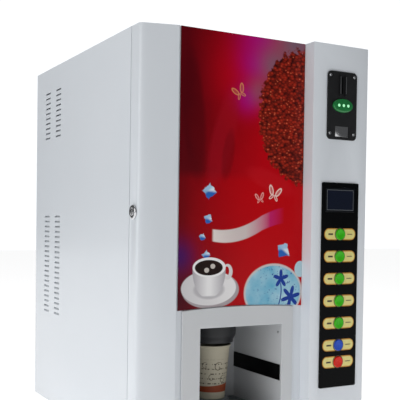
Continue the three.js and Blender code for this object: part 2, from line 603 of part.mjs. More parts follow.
// The door's outline seen from above, moved inwards by inset
function doorOutline(inset) {
  const postY = (x) => 2 + (POST_FRONT - 2) * (x - CORNER_FACE) / (POST_WIDTH - CORNER_FACE) + inset;
  const radius = COLUMN_CORNER - inset;
  const right = WIDTH - inset;
  const front = COLUMN_FRONT + inset;
  return new THREE.Shape().moveTo(inset, DOOR_BACK - inset)
    .lineTo(inset, CORNER_SIDE)
    .quadraticCurveTo(inset, postY(4), CORNER_FACE + inset / 2, postY(CORNER_FACE))
    .lineTo(POST_WIDTH - inset, POST_FRONT + inset)
    .lineTo(POST_WIDTH - inset, PANEL_Y + inset)
    .lineTo(COLUMN_X + inset, PANEL_Y + inset)
    .lineTo(COLUMN_X + inset, front)
    .lineTo(right - radius, front)
    .absarc(right - radius, front + radius, radius, -Math.PI / 2, 0)
    .lineTo(right, DOOR_BACK - inset);
}

// Folded steel shell, open at the back inside a folded rim, with its cut-outs
function doorShell() {
  const outer = prismZ(doorOutline(0), FIT, HEIGHT - FIT, 4);
  const hollow = prismZ(doorOutline(SHEET), FIT + SHEET, HEIGHT - FIT - SHEET, 4);
  const rear = box(FLANGE, WIDTH - FLANGE, DOOR_BACK - 2 * SHEET, DOOR_BACK + 1, FLANGE, HEIGHT - FLANGE);
  const clear = BAY_WALL + FIT;
  const bay = box(BAY_LEFT - clear, BAY_RIGHT + clear, PANEL_Y - 1, PANEL_Y + 3,
    BAY_BOTTOM - clear, BAY_TOP + clear);
  const lock = rodX(LOCK_BODY + FIT, -1, SHEET + 1, LOCK_Y, LOCK_Z);
  const keypad = box(COLUMN_CENTRE - KEYPAD_WIDTH / 2 + 6, COLUMN_CENTRE + KEYPAD_WIDTH / 2 - 6,
    COLUMN_FRONT - 1, COLUMN_FRONT + 3, KEYPAD_BASE + 8, KEYPAD_TOP - 6);
  const slot = box(COLUMN_CENTRE - 4, COLUMN_CENTRE + 4, COLUMN_FRONT - 1, COLUMN_FRONT + 3,
    COIN_Z + COIN_SLOT_RISE - COIN_SLOT_LENGTH / 2 - 3, COIN_Z + COIN_SLOT_RISE + COIN_SLOT_LENGTH / 2 + 3);
  const reject = prismY(ovalShape(COLUMN_CENTRE, COIN_Z, REJECT_WIDTH + 3, REJECT_HEIGHT + 3),
    COLUMN_FRONT - 1, COLUMN_FRONT + 3, 12);
  const returnHole = box(COLUMN_CENTRE - RETURN_WIDTH / 2 - 1, COLUMN_CENTRE + RETURN_WIDTH / 2 + 1,
    COLUMN_FRONT - 1, COLUMN_FRONT + 3, RETURN_Z - RETURN_HEIGHT / 2 - 1, RETURN_Z + RETURN_HEIGHT / 2 + 1);
  piece('door_shell', cut(outer, hollow, rear, bay, lock, keypad, slot, reject, returnHole), WHITE_PAINT);
}

function ovalShape(x, z, width, height) {
  return new THREE.Shape().absellipse(x, z, width / 2, height / 2, 0, 2 * Math.PI);
}

// Its lower edge rises in a shallow arch over the bezel
function poster() {
  const x0 = POSTER_X;
  const x1 = COLUMN_X - FIT;
  const base = BEZEL_TOP + FIT;
  const sheet = new THREE.Shape().moveTo(x0, base)
    .quadraticCurveTo((x0 + x1) / 2, base + 2 * POSTER_ARCH, x1, base)
    .lineTo(x1, HEIGHT - FIT).lineTo(x0, HEIGHT - FIT);
  piece('poster_panel', prismY(sheet, PANEL_Y - FIT - POSTER_THICK, PANEL_Y - FIT, 16), POSTER_RED);
}

// One moulding: the bezel round the opening and the box behind it
function cupBay() {
  const face = PANEL_Y - FIT - BEZEL_THICK;
  const x0 = BAY_LEFT - BEZEL_SIDE_LEFT;
  const x1 = BAY_RIGHT + BEZEL_SIDE_RIGHT;
  const bezel = new THREE.Shape().moveTo(x0 + 6, BEZEL_BOTTOM).lineTo(x1 - 6, BEZEL_BOTTOM)
    .quadraticCurveTo(x1, BEZEL_BOTTOM, x1, BEZEL_BOTTOM + 6).lineTo(x1, BEZEL_TOP)
    .quadraticCurveTo((x0 + x1) / 2, BEZEL_TOP + 2 * POSTER_ARCH - 1, x0, BEZEL_TOP)
    .lineTo(x0, BEZEL_BOTTOM + 6).quadraticCurveTo(x0, BEZEL_BOTTOM, x0 + 6, BEZEL_BOTTOM);
  const plate = prismY(bezel, face, PANEL_Y - FIT, 10);
  const shell = box(BAY_LEFT - BAY_WALL, BAY_RIGHT + BAY_WALL, face + 1, BAY_BACK + BAY_WALL,
    BAY_BOTTOM - BAY_WALL, BAY_CEILING);
  const room = box(BAY_LEFT, BAY_RIGHT, face - 1, BAY_BACK, BAY_BOTTOM, BAY_TOP);
  const hole = rodZ(SHROUD_TOP + FIT, BAY_TOP - 1, BAY_CEILING + 1, BAY_CENTRE, CUP_Y, 32);
  piece('cup_bay', cut(join(plate, shell), room, hole), WHITE_PLASTIC);

  const strip = prismX(rectangle(face + 4, BAY_BACK - FIT, STRIP_BASE, STRIP_BASE + STRIP_HEIGHT, 1),
    BAY_RIGHT - FIT - STRIP_THICK, BAY_RIGHT - FIT);
  piece('cup_sensor_strip', strip, BLACK_GLOSS);
}

// A tapered collar that hangs through the bay's ceiling and guides the falling cup
function drinkShroud() {
  const low = DROP_BORE + SHROUD_WALL;
  const top = BAY_CEILING + FIT;
  const profile = [[DROP_BORE, SHROUD_BOTTOM], [low, SHROUD_BOTTOM], [SHROUD_TOP, SHROUD_BOTTOM + 16],
    [SHROUD_TOP, top], [SHROUD_TOP + 6, top], [SHROUD_TOP + 6, top + 2], [SHROUD_TOP - SHROUD_WALL, top + 2],
    [SHROUD_TOP - SHROUD_WALL, SHROUD_BOTTOM + 17], [DROP_BORE, SHROUD_BOTTOM]];
  piece('drink_shroud', turned(profile, BAY_CENTRE, CUP_Y, 28), BLACK_PLASTIC);
}

// A tray that slides out of the bay's opening, with a slotted grille and a raised cup stand on it
function dripTray() {
  const x0 = BAY_LEFT + 1;
  const x1 = BAY_RIGHT - FIT - STRIP_THICK;
  const y0 = PANEL_Y + 1;
  const y1 = BAY_BACK - 1;
  const z0 = BAY_BOTTOM + FIT;
  const outer = box(x0, x1, y0, y1, z0, TRAY_TOP);
  const inner = box(x0 + TRAY_WALL, x1 - TRAY_WALL, y0 + TRAY_WALL, y1 - TRAY_WALL, z0 + TRAY_WALL, TRAY_TOP + 1);
  piece('drip_tray', cut(outer, inner), GREY_PLASTIC);

  const slots = [...Array(GRILLE_SLOTS).keys()].flatMap((i) => {
    const y = y0 + 10 + i * (y1 - y0 - 20) / (GRILLE_SLOTS - 1);
    const besideStand = Math.abs(y - CUP_Y) < STAND_RADIUS + 4;
    const reach = besideStand ? BAY_WIDTH / 2 - STAND_RADIUS - 12 : BAY_WIDTH / 2 - 16;
    return [x0 + 8, x1 - 8 - reach].map((x) => box(x, x + reach, y - 2, y + 2, TRAY_TOP, GRILLE_TOP + 1));
  });
  const plate = prismZ(rectangle(x0, x1, y0, y1, 3), TRAY_TOP + FIT, GRILLE_TOP, 3);
  const stand = turned([[0, GRILLE_TOP - 1], [STAND_RADIUS + 2, GRILLE_TOP - 1],
    [STAND_RADIUS, GRILLE_TOP + STAND_HEIGHT - 1.5], [STAND_RADIUS - 1.5, GRILLE_TOP + STAND_HEIGHT],
    [0, GRILLE_TOP + STAND_HEIGHT]], BAY_CENTRE, CUP_Y);
  piece('drip_grille', join(cut(plate, ...slots), stand), GREY_PLASTIC);
}

// A tapered cup with a rolled rim and a bottom set up inside its wall
function paperCup() {
  const top = CUP_Z + CUP_HEIGHT;
  const profile = [[0, CUP_Z + 5], [CUP_BASE - CUP_WALL - 0.5, CUP_Z + 5], [CUP_BASE - CUP_WALL - 0.5, CUP_Z],
    [CUP_BASE, CUP_Z], [CUP_RIM - 1.5, top - 3], [CUP_RIM, top - 2.5], [CUP_RIM, top - 0.8],
    [CUP_RIM - 1, top], [CUP_RIM - 2.6, top - 1], [CUP_BASE - CUP_WALL, CUP_Z + 6], [0, CUP_Z + 6]];
  piece('paper_cup', turned(profile, BAY_CENTRE, CUP_Y, 28), PAPER);
}

// ---------------------------------------------------------------- coin group

function coinPlate() {
  const x0 = COLUMN_CENTRE - COIN_PLATE_WIDTH / 2;
  const x1 = COLUMN_CENTRE + COIN_PLATE_WIDTH / 2;
  const slotZ = COIN_Z + COIN_SLOT_RISE;
  const face = rectangle(x0, x1, COIN_Z - COIN_PLATE_HEIGHT / 2, COIN_Z + COIN_PLATE_HEIGHT / 2, 8);
  face.holes.push(rectangle(COLUMN_CENTRE - COIN_SLOT_WIDTH / 2, COLUMN_CENTRE + COIN_SLOT_WIDTH / 2,
    slotZ - COIN_SLOT_LENGTH / 2, slotZ + COIN_SLOT_LENGTH / 2));
  face.holes.push(ovalShape(COLUMN_CENTRE, COIN_Z, REJECT_WIDTH + 2 * FIT, REJECT_HEIGHT + 2 * FIT));
  face.holes.push(rectangle(COLUMN_CENTRE - RETURN_WIDTH / 2, COLUMN_CENTRE + RETURN_WIDTH / 2,
    RETURN_Z - RETURN_HEIGHT / 2, RETURN_Z + RETURN_HEIGHT / 2));
  const plate = prismY(face, PLATE_FRONT, PLATE_BACK, 12);
  const rib = (x) => box(x - 1.6, x + 1.6, PLATE_FRONT - 2.5, PLATE_FRONT + 1,
    slotZ - COIN_SLOT_LENGTH / 2 - 3, slotZ + COIN_SLOT_LENGTH / 2 + 3);
  piece('coin_plate', join(plate, rib(COLUMN_CENTRE - 6.3), rib(COLUMN_CENTRE + 6.3)), BLACK_PLASTIC);
}

// The coin selector behind the plate, with room for the reject button and the return cup
function coinMechanism() {
  const half = COIN_PLATE_WIDTH / 2 + 2;
  const front = COLUMN_FRONT + SHEET + FIT;
  const body = box(COLUMN_CENTRE - half, COLUMN_CENTRE + half, front, MECH_BACK,
    COIN_Z - COIN_PLATE_HEIGHT / 2 - 2, COIN_Z + COIN_PLATE_HEIGHT / 2 + 2);
  const slotZ = COIN_Z + COIN_SLOT_RISE;
  const slot = box(COLUMN_CENTRE - 2.5, COLUMN_CENTRE + 2.5, front - 1, MECH_BACK - 14,
    slotZ - COIN_SLOT_LENGTH / 2, slotZ + COIN_SLOT_LENGTH / 2);
  const buttonRoom = prismY(ovalShape(COLUMN_CENTRE, COIN_Z, REJECT_WIDTH + 3, REJECT_HEIGHT + 3),
    front - 1, front + 12, 12);
  const cup = box(COLUMN_CENTRE - RETURN_WIDTH / 2 - 1, COLUMN_CENTRE + RETURN_WIDTH / 2 + 1, front - 1,
    front + 28, RETURN_Z - RETURN_HEIGHT / 2 - 1, RETURN_Z + RETURN_HEIGHT / 2 + 1);
  piece('coin_mechanism', cut(body, slot, buttonRoom, cup), BLACK_PLASTIC);
}

function coinControls() {
  const oval = ovalShape(COLUMN_CENTRE, COIN_Z, REJECT_WIDTH, REJECT_HEIGHT);
  piece('reject_button', prismY(oval, PLATE_FRONT - 4, PLATE_BACK + 6, 12), COIN_GREEN);
  const half = RETURN_WIDTH / 2 - FIT;
  piece('return_flap', box(COLUMN_CENTRE - half, COLUMN_CENTRE + half, PLATE_BACK - 1.6, PLATE_BACK,
    RETURN_Z - RETURN_HEIGHT / 2 + FIT, RETURN_Z + RETURN_HEIGHT / 2 - FIT), CHROME);
}

// ---------------------------------------------------------------- keypad

function buttonHeights() {
  const heights = [];
  for (let i = 0; i < BUTTON_COUNT - 1; i += 1) heights.push(KEYPAD_TOP - BUTTON_FIRST_DROP - i * BUTTON_PITCH);
  heights.push(heights[BUTTON_COUNT - 2] - BUTTON_LAST_PITCH);
  return heights;
}

function keypad() {
  const x0 = COLUMN_CENTRE - KEYPAD_WIDTH / 2;
  const face = rectangle(x0, x0 + KEYPAD_WIDTH, KEYPAD_BASE, KEYPAD_TOP, 3);
  face.holes.push(rectangle(COLUMN_CENTRE - DISPLAY_WIDTH / 2 - FIT, COLUMN_CENTRE + DISPLAY_WIDTH / 2 + FIT,
    DISPLAY_Z - DISPLAY_HEIGHT / 2 - FIT, DISPLAY_Z + DISPLAY_HEIGHT / 2 + FIT));
  for (const z of buttonHeights()) {
    face.holes.push(new THREE.Path().absarc(COLUMN_CENTRE, z, BUTTON_RADIUS + FIT, 0, 2 * Math.PI, false));
  }
  piece('keypad_plate', prismY(face, KEYPAD_FRONT, PLATE_BACK, 8), BLACK_GLOSS);

  piece('display_module', box(COLUMN_CENTRE - DISPLAY_WIDTH / 2, COLUMN_CENTRE + DISPLAY_WIDTH / 2,
    KEYPAD_FRONT + 0.5, PLATE_BACK + 8, DISPLAY_Z - DISPLAY_HEIGHT / 2, DISPLAY_Z + DISPLAY_HEIGHT / 2), DISPLAY_BLUE);

  const finishes = [GREEN, GREEN, GREEN, GREEN, GREEN, BLUE, RED];
  buttonHeights().forEach((z, i) => {
    const front = KEYPAD_FRONT - BUTTON_PROUD;
    const cap = new THREE.LatheGeometry([[0, 0], [BUTTON_RADIUS - 1.2, 0], [BUTTON_RADIUS, 1],
      [BUTTON_RADIUS, PLATE_BACK + FIT - front], [BUTTON_RADIUS + 2, PLATE_BACK + FIT - front],
      [BUTTON_RADIUS + 2, PLATE_BACK + 3 - front], [0, PLATE_BACK + 3 - front]]
      .map(([radius, y]) => new THREE.Vector2(radius, y)), 16).translate(COLUMN_CENTRE, front, z);
    piece(`button_${i + 1}`, cap, finishes[i]);
  });
}

// ---------------------------------------------------------------- lock

function doorLock() {
  const barrel = new THREE.LatheGeometry([[LOCK_CORE + FIT, 0], [LOCK_FLANGE - 1.5, 0], [LOCK_FLANGE, 1.5],
    [LOCK_FLANGE, LOCK_PROUD - FIT], [LOCK_BODY, LOCK_PROUD - FIT], [LOCK_BODY, HOOK_X + LOCK_PROUD - 1],
    [LOCK_CORE + FIT, HOOK_X + LOCK_PROUD - 1], [LOCK_CORE + FIT, 0]]
    .map(([radius, y]) => new THREE.Vector2(radius, y)), 20)
    .rotateZ(-Math.PI / 2).translate(-LOCK_PROUD, LOCK_Y, LOCK_Z);
  piece('lock_barrel', barrel, CHROME);

  // Key plug with its hook: the arm points up and its nose points back while the door is unlocked
  const plug = rodX(LOCK_CORE, -LOCK_PROUD - 0.5, HOOK_X + 1, LOCK_Y, LOCK_Z);
  const keyway = box(-LOCK_PROUD - 1, -LOCK_PROUD + 4, LOCK_Y - 1, LOCK_Y + 1, LOCK_Z - 4, LOCK_Z + 4);
  const hook = prismX(polygon([[LOCK_Y - 4, LOCK_Z - 7], [LOCK_Y + 4, LOCK_Z - 7],
    [LOCK_Y + 4, LOCK_Z + LOCK_ARM - 4], [LOCK_Y + 12, LOCK_Z + LOCK_ARM - 4],
    [LOCK_Y + 12, LOCK_Z + LOCK_ARM], [LOCK_Y - 4, LOCK_Z + LOCK_ARM]]), HOOK_X, HOOK_X + HOOK_THICK);
  piece('lock_plug', join(cut(plug, keyway), hook), CHROME);
}

// ---------------------------------------------------------------- door hinge

// Leaves on the outer right side; the knuckles alternate along the pin from the bottom up
function hinge() {
  const pitch = (HEIGHT - 2 * HINGE_BASE) / HINGE_KNUCKLES;
  const knuckle = (i, radius) => rodZ(radius, HINGE_BASE + i * pitch + (radius === KNUCKLE_RADIUS ? FIT : -1),
    HINGE_BASE + (i + 1) * pitch + (radius === KNUCKLE_RADIUS ? -FIT : 1), HINGE_X, HINGE_Y, 16);
  const leafX0 = WIDTH + FIT;
  const leafX1 = leafX0 + SHEET;
  const web = (i, y0, y1) => box(leafX0, leafX1, y0, y1, HINGE_BASE + i * pitch + FIT,
    HINGE_BASE + (i + 1) * pitch - FIT);
  const frameLeaf = box(leafX0, leafX1, HINGE_Y + 6, HINGE_Y + 34, HINGE_BASE, HEIGHT - HINGE_BASE);
  const doorLeaf = box(leafX0, leafX1, HINGE_Y - 34, HINGE_Y - 6, HINGE_BASE, HEIGHT - HINGE_BASE);
  const even = [...Array(HINGE_KNUCKLES).keys()].filter((i) => i % 2 === 0);
  const odd = [...Array(HINGE_KNUCKLES).keys()].filter((i) => i % 2 === 1);
  const pin = rodZ(PIN_RADIUS, HINGE_BASE, HEIGHT - HINGE_BASE, HINGE_X, HINGE_Y, 12);

  const frameParts = even.flatMap((i) => [knuckle(i, KNUCKLE_RADIUS), web(i, HINGE_Y, HINGE_Y + 7)]);
  const bores = even.map((i) => knuckle(i, PIN_RADIUS + FIT));
  piece('hinge_cabinet_leaf', cut(join(frameLeaf, ...frameParts), ...bores), ZINC);
  const doorParts = odd.flatMap((i) => [knuckle(i, KNUCKLE_RADIUS), web(i, HINGE_Y - 7, HINGE_Y)]);
  piece('hinge_door_leaf', join(doorLeaf, pin, ...doorParts), ZINC);
}

// ---------------------------------------------------------------- assembly

sidePanel('left_side_panel', 0, 1);
sidePanel('right_side_panel', WIDTH, -1);
pan('base_pan', 0, FLANGE + 4, [SHEET, FLANGE + 5]);
pan('top_panel', HEIGHT - FLANGE - 4, HEIGHT, [HEIGHT - FLANGE - 5, HEIGHT - SHEET]);
backPanel();
feet();
frontFrame();
machineWall();
shelves();
cupMagazine();
CANISTER_CENTRES.forEach((x, i) => {
  canister(i + 1, x);
  auger(i + 1, x);
  mixingBowl(i + 1, x);
  whipper(i + 1, x);
});
services();
fan();
powerInlet();
doorShell();
poster();
cupBay();
drinkShroud();
dripTray();
paperCup();
coinPlate();
coinMechanism();
coinControls();
keypad();
doorLock();
hinge();

// Origin at the bottom centre of everything, feet and proud pieces included
const LEFTMOST = -LOCK_PROUD - 0.5;
const RIGHTMOST = HINGE_X + KNUCKLE_RADIUS;
const FRONTMOST = Math.min(KEYPAD_FRONT - BUTTON_PROUD, PLATE_FRONT - 4);
const REARMOST = Math.max(DEPTH, BACK_Y + SHEET + FIT + INLET_FLANGE);
machine.position.set(-(LEFTMOST + RIGHTMOST) / 2, -(FRONTMOST + REARMOST) / 2, FOOT_HEIGHT);

export default machine;
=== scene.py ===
import math

import bmesh
import bpy
from mathutils import Matrix, Vector


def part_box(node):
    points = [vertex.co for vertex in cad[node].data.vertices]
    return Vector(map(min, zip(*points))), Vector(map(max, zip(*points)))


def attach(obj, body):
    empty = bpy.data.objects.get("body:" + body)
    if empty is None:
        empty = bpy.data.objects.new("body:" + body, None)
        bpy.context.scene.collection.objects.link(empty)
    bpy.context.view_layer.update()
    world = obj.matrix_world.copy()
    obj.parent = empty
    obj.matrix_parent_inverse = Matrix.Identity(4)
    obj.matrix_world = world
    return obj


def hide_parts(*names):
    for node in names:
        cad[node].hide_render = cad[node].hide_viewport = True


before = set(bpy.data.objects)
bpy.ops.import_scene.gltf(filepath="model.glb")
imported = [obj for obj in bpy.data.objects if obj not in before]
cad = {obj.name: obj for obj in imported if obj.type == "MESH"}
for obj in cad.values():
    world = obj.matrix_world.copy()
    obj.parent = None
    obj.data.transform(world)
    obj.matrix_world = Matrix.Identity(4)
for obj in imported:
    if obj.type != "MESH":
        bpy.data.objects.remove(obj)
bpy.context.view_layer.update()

# ---- Camera: at the machine's front left, level with its middle, turned a little so that
# the left side, the slanted post and the whole front show.
yaw, pitch, roll = math.radians(28.815), math.radians(-1.305), math.radians(0.809)
ahead = Vector((math.sin(yaw) * math.cos(pitch), math.cos(yaw) * math.cos(pitch), math.sin(pitch)))
right = Vector((math.cos(yaw), -math.sin(yaw), 0))
up = right.cross(ahead)
across = right * math.cos(roll) + up * math.sin(roll)
above = up * math.cos(roll) - right * math.sin(roll)
camera = bpy.data.objects.new("camera", bpy.data.cameras.new("camera"))
camera.matrix_world = (Matrix.Translation((-0.75287, -1.42551, 0.41271))
                       @ Matrix((across, above, -ahead)).transposed().to_4x4())
camera.data.lens = 69.796
camera.data.shift_y = 0.1
bpy.context.scene.collection.objects.link(camera)
bpy.context.scene.camera = camera
bpy.context.scene.view_settings.view_transform = "Standard"


# ---- Studio: a pale matt floor under a white room, one wide soft light at the left and
# two weaker ones at the front and above.
def tint(red, green, blue):
    """A screen colour from 0 to 255 as the linear colour that a shader takes."""
    return tuple(c / 12.92 if c <= 0.04045 else ((c + 0.055) / 1.055) ** 2.4
                 for c in (red / 255, green / 255, blue / 255))


class Wire:
    """A socket in a finish's node tree; arithmetic on it adds the Math nodes."""

    def __init__(self, finish, socket):
        self.finish, self.socket = finish, socket

    def sum(self, operation, first, second, clamp=False):
        return self.finish.maths(operation, first, second, clamp)

    def __add__(self, other):
        return self.sum("ADD", self, other)

    def __sub__(self, other):
        return self.sum("SUBTRACT", self, other)

    def __rsub__(self, other):
        return self.sum("SUBTRACT", other, self)

    def __mul__(self, other):
        return self.sum("MULTIPLY", self, other)

    def __truediv__(self, other):
        return self.sum("DIVIDE", self, other)

    def __gt__(self, other):
        return self.sum("GREATER_THAN", self, other)

    __radd__, __rmul__ = __add__, __mul__

    def larger(self, other):
        return self.sum("MAXIMUM", self, other)

    def ranged(self, slope=1.0):
        return self.sum("MULTIPLY", self, slope, clamp=True)

    def of(self, operation):
        return self.sum(operation, self, 0.0)


class Finish:
    """A procedural material round one Principled shader."""

    def __init__(self, name, colour, roughness, metallic=0.0, **fixed):
        self.material = bpy.data.materials.new(name)
        self.material.use_nodes = True
        self.tree = self.material.node_tree
        self.shader = self.tree.nodes["Principled BSDF"]
        self.colour = (*tint(*colour), 1)
        self.put("Base Color", self.colour)
        self.put("Roughness", roughness)
        self.put("Metallic", metallic)
        for socket, value in fixed.items():
            self.put(socket.replace("_", " "), value)
        self.where = self.node("ShaderNodeTexCoord", {}, {}, out="Object")

    def put(self, socket, value):
        if isinstance(value, Wire):
            self.tree.links.new(value.socket, self.shader.inputs[socket])
        else:
            self.shader.inputs[socket].default_value = value

    def node(self, kind, settings, inputs, out=0):
        made = self.tree.nodes.new(kind)
        for name, value in settings.items():
            setattr(made, name, value)
        for socket, value in inputs.items():
            if isinstance(value, Wire):
                self.tree.links.new(value.socket, made.inputs[socket])
            else:
                made.inputs[socket].default_value = value
        return Wire(self, made.outputs[out])

    def maths(self, operation, first, second, clamp=False):
        return self.node("ShaderNodeMath", dict(operation=operation, use_clamp=clamp), {0: first, 1: second})

    def axes(self, vector=None):
        split = self.node("ShaderNodeSeparateXYZ", {}, {0: vector or self.where})
        outputs = split.socket.node.outputs
        return [Wire(self, outputs[i]) for i in range(3)]

    def noise(self, scale, detail=2.0, vector=None):
        return self.node("ShaderNodeTexNoise", {}, {"Vector": vector or self.where, "Scale": scale,
                                                    "Detail": detail})

    def mix(self, mask, under, over):
        wires = {0: mask, 6: under if isinstance(under, Wire) else (*under[:3], 1),
                 7: over if isinstance(over, Wire) else (*over[:3], 1)}
        return self.node("ShaderNodeMix", dict(data_type="RGBA"), wires, out=2)

    def rough(self, low, high, scale, detail=3.0):
        """Roughness that wanders between two values."""
        self.put("Roughness", self.noise(scale, detail) * (high - low) + low)

    def bump(self, height, strength, distance):
        self.put("Normal", self.node("ShaderNodeBump", {}, {"Strength": strength, "Distance": distance,
                                                            "Height": height}))


floor_mesh = bpy.data.meshes.new("floor")
floor_mesh.from_pydata([(-9, -9, 0), (9, -9, 0), (9, 9, 0), (-9, 9, 0)], [], [(0, 1, 2, 3)])
floor = bpy.data.objects.new("floor", floor_mesh)
bpy.context.scene.collection.objects.link(floor)
floor_finish = Finish("floor_board", (250, 250, 250), 0.9, Emission_Strength=0.86,
                      Emission_Color=(1, 1, 1, 1))
floor_finish.put("Base Color", floor_finish.mix(floor_finish.noise(3.0), tint(248, 248, 249),
                                                tint(252, 252, 252)))
floor_mesh.materials.append(floor_finish.material)

world = bpy.data.worlds.new("studio")
world.use_nodes = True
room = world.node_tree
seen = room.nodes.new("ShaderNodeLightPath")
strength = room.nodes.new("ShaderNodeMapRange")
room.links.new(seen.outputs["Is Camera Ray"], strength.inputs["Value"])
strength.inputs["To Min"].default_value = 0.10
strength.inputs["To Max"].default_value = 1.1
room.links.new(strength.outputs["Result"], room.nodes["Background"].inputs["Strength"])
room.nodes["Background"].inputs["Color"].default_value = (0.96, 0.98, 1.0, 1)
bpy.context.scene.world = world

for name, place, size, power in (("key_left", (-3.5, -1.0, 1.5), 2.6, 41),
                                 ("front_fill", (-1.9, -3.3, 1.3), 1.8, 3),
                                 ("top_light", (0.1, 0.3, 3.4), 2.2, 14)):
    light = bpy.data.lights.new(name, "AREA")
    light.size, light.energy = size, power
    lamp = bpy.data.objects.new(name, light)
    lamp.location = place
    lamp.rotation_euler = (Vector((0, 0, 0.38)) - Vector(place)).to_track_quat("-Z", "Y").to_euler()
    bpy.context.scene.collection.objects.link(lamp)


# ---- Feet: four moulded rubber feet, each screwed up into the base pan, with a ribbed
# side and a worn, dusty lower edge.
def shaped(name, vertices, faces, finish, smooth=True):
    """A new mesh object with its normals facing out."""
    mesh = bpy.data.meshes.new(name)
    mesh.from_pydata(vertices, [], faces)
    work = bmesh.new()
    work.from_mesh(mesh)
    bmesh.ops.remove_doubles(work, verts=work.verts, dist=1e-6)
    bmesh.ops.recalc_face_normals(work, faces=work.faces)
    work.to_mesh(mesh)
    work.free()
    mesh.polygons.foreach_set("use_smooth", [smooth] * len(mesh.polygons))
    mesh.materials.append(finish.material)
    piece = bpy.data.objects.new(name, mesh)
    bpy.context.scene.collection.objects.link(piece)
    return piece


def keep_edges(piece, degrees=32):
    """Edges sharper than this stay crisp under smooth shading."""
    mesh = piece.data
    work = bmesh.new()
    work.from_mesh(mesh)
    for edge in work.edges:
        edge.smooth = len(edge.link_faces) == 2 and edge.calc_face_angle(0) < math.radians(degrees)
    work.to_mesh(mesh)
    work.free()
    return piece


def turned(name, profile, centre, axis, finish, steps=64):
    """A profile of (radius, height) pairs in metres turned about an upright, sideways or level axis."""
    vertices, rings = [], []
    for radius, height in profile:
        ring = []
        for i in range(steps if radius > 1e-7 else 1):
            angle = 2 * math.pi * i / steps
            a, b = radius * math.cos(angle), radius * math.sin(angle)
            place = {"x": (height, a, b), "y": (a, height, b), "z": (a, b, height)}[axis]
            ring.append(len(vertices))
            vertices.append(tuple(Vector(place) + Vector(centre)))
        rings.append(ring)
    faces = []
    for low, high in zip(rings, rings[1:]):
        for i in range(steps):
            j = (i + 1) % steps
            quad = [low[i % len(low)], low[j % len(low)], high[j % len(high)], high[i % len(high)]]
            face = list(dict.fromkeys(quad))
            if len(face) > 2:
                faces.append(face)
    return keep_edges(shaped(name, vertices, faces, finish))


def placed(piece, body, slot, *nodes):
    """The piece moves with a body and stands for CAD nodes, which it hides. The slot argument is not used."""
    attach(piece, body)
    if nodes:
        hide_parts(*nodes)
    return piece


rubber = Finish("foot_rubber", (30, 30, 32), 0.85)
rubber_z = rubber.axes()[2]
rubber.put("Base Color", rubber.mix(((0.006 - rubber_z) * 160).ranged() * rubber.noise(240), tint(28, 28, 30),
                                    tint(96, 92, 88)))
rubber.bump(rubber.noise(1500), 0.25, 0.0004)
for corner in ("front_left", "front_right", "back_left", "back_right"):
    low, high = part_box("foot_" + corner)
    middle, reach = (low + high) / 2, (high.x - low.x) / 2
    rise = high.z - low.z
    profile = [(0, 0), (reach - 0.003, 0), (reach - 0.0012, 0.0006), (reach, 0.0022), (reach - 0.0004, 0.005)]
    for i in range(4):
        z, r = 0.006 + i * 0.003, reach - 0.0006 - i * 0.0006
        profile += [(r, z), (r - 0.0008, z + 0.0008), (r - 0.0008, z + 0.0016), (r - 0.0003, z + 0.0024)]
    profile += [(reach - 0.0035, rise - 0.0006), (reach - 0.0042, rise), (0, rise)]
    placed(turned("foot_rubber_" + corner, profile, (middle.x, middle.y, low.z), "z", rubber),
           "cabinet", "rubber_black", "foot_" + corner)


# ---- Cabinet sheets: 1.5 mm steel, folded on a brake and powder-coated white, so each fold
# has a small round and the coat a faint orange peel. The back is left in bare zinc.
def softened(node, finish, slot, body, width, segments=3, sharp=30, flat=False):
    """A copy of a CAD node with its flat faces joined and its edges rounded.

    flat leaves the normals of sheet faces alone."""
    mesh = cad[node].data.copy()
    work = bmesh.new()
    work.from_mesh(mesh)
    bmesh.ops.remove_doubles(work, verts=work.verts, dist=2e-6)
    bmesh.ops.dissolve_limit(work, angle_limit=math.radians(0.5), verts=work.verts, edges=work.edges)
    work.to_mesh(mesh)
    work.free()
    mesh.polygons.foreach_set("use_smooth", [not flat] * len(mesh.polygons))
    mesh.materials.clear()
    mesh.materials.append(finish.material)
    piece = bpy.data.objects.new(node + "_finished", mesh)
    bpy.context.scene.collection.objects.link(piece)
    bevel = piece.modifiers.new("rounded_edges", "BEVEL")
    bevel.width, bevel.segments = width, segments
    bevel.limit_method, bevel.angle_limit = "ANGLE", math.radians(sharp)
    bevel.harden_normals = not flat
    return placed(piece, body, slot, node)


def dressed(node, finish):
    """A CAD node that keeps its shape and takes a better finish."""
    cad[node].data.materials.clear()
    cad[node].data.materials.append(finish.material)


paint = Finish("white_powder_coat", (226, 231, 236), 0.32, Coat_Weight=0.25, Coat_Roughness=0.12)
paint_z = paint.axes()[2]
cloud = paint.noise(2.6, 4.0)
dusty = ((0.05 - paint_z) * 18).ranged() * paint.noise(60, 6.0)
paint.put("Base Color", paint.mix(dusty * 0.35, paint.mix(cloud, tint(221, 227, 233), tint(231, 235, 240)),
                                  tint(178, 176, 170)))
paint.rough(0.27, 0.4, 9.0, 5.0)
paint.bump(paint.noise(1100, 1.0), 0.07, 0.0004)

zinc = Finish("zinc_sheet", (176, 180, 184), 0.4, 0.9)
flakes = zinc.node("ShaderNodeTexVoronoi", {}, {"Vector": zinc.where, "Scale": 120.0}, out=1)
zinc.put("Base Color", zinc.mix(zinc.axes(flakes)[0], tint(160, 165, 170), tint(186, 190, 194)))
zinc.put("Roughness", zinc.axes(flakes)[1] * 0.18 + 0.32)
zinc.bump(zinc.noise(700), 0.06, 0.0003)

for node in ("left_side_panel", "right_side_panel", "top_panel", "base_pan", "front_frame"):
    softened(node, paint, "white_paint", "cabinet", 0.0007, flat=True)
softened("back_panel", zinc, "zinc_steel", "cabinet", 0.0004, 2, flat=True)


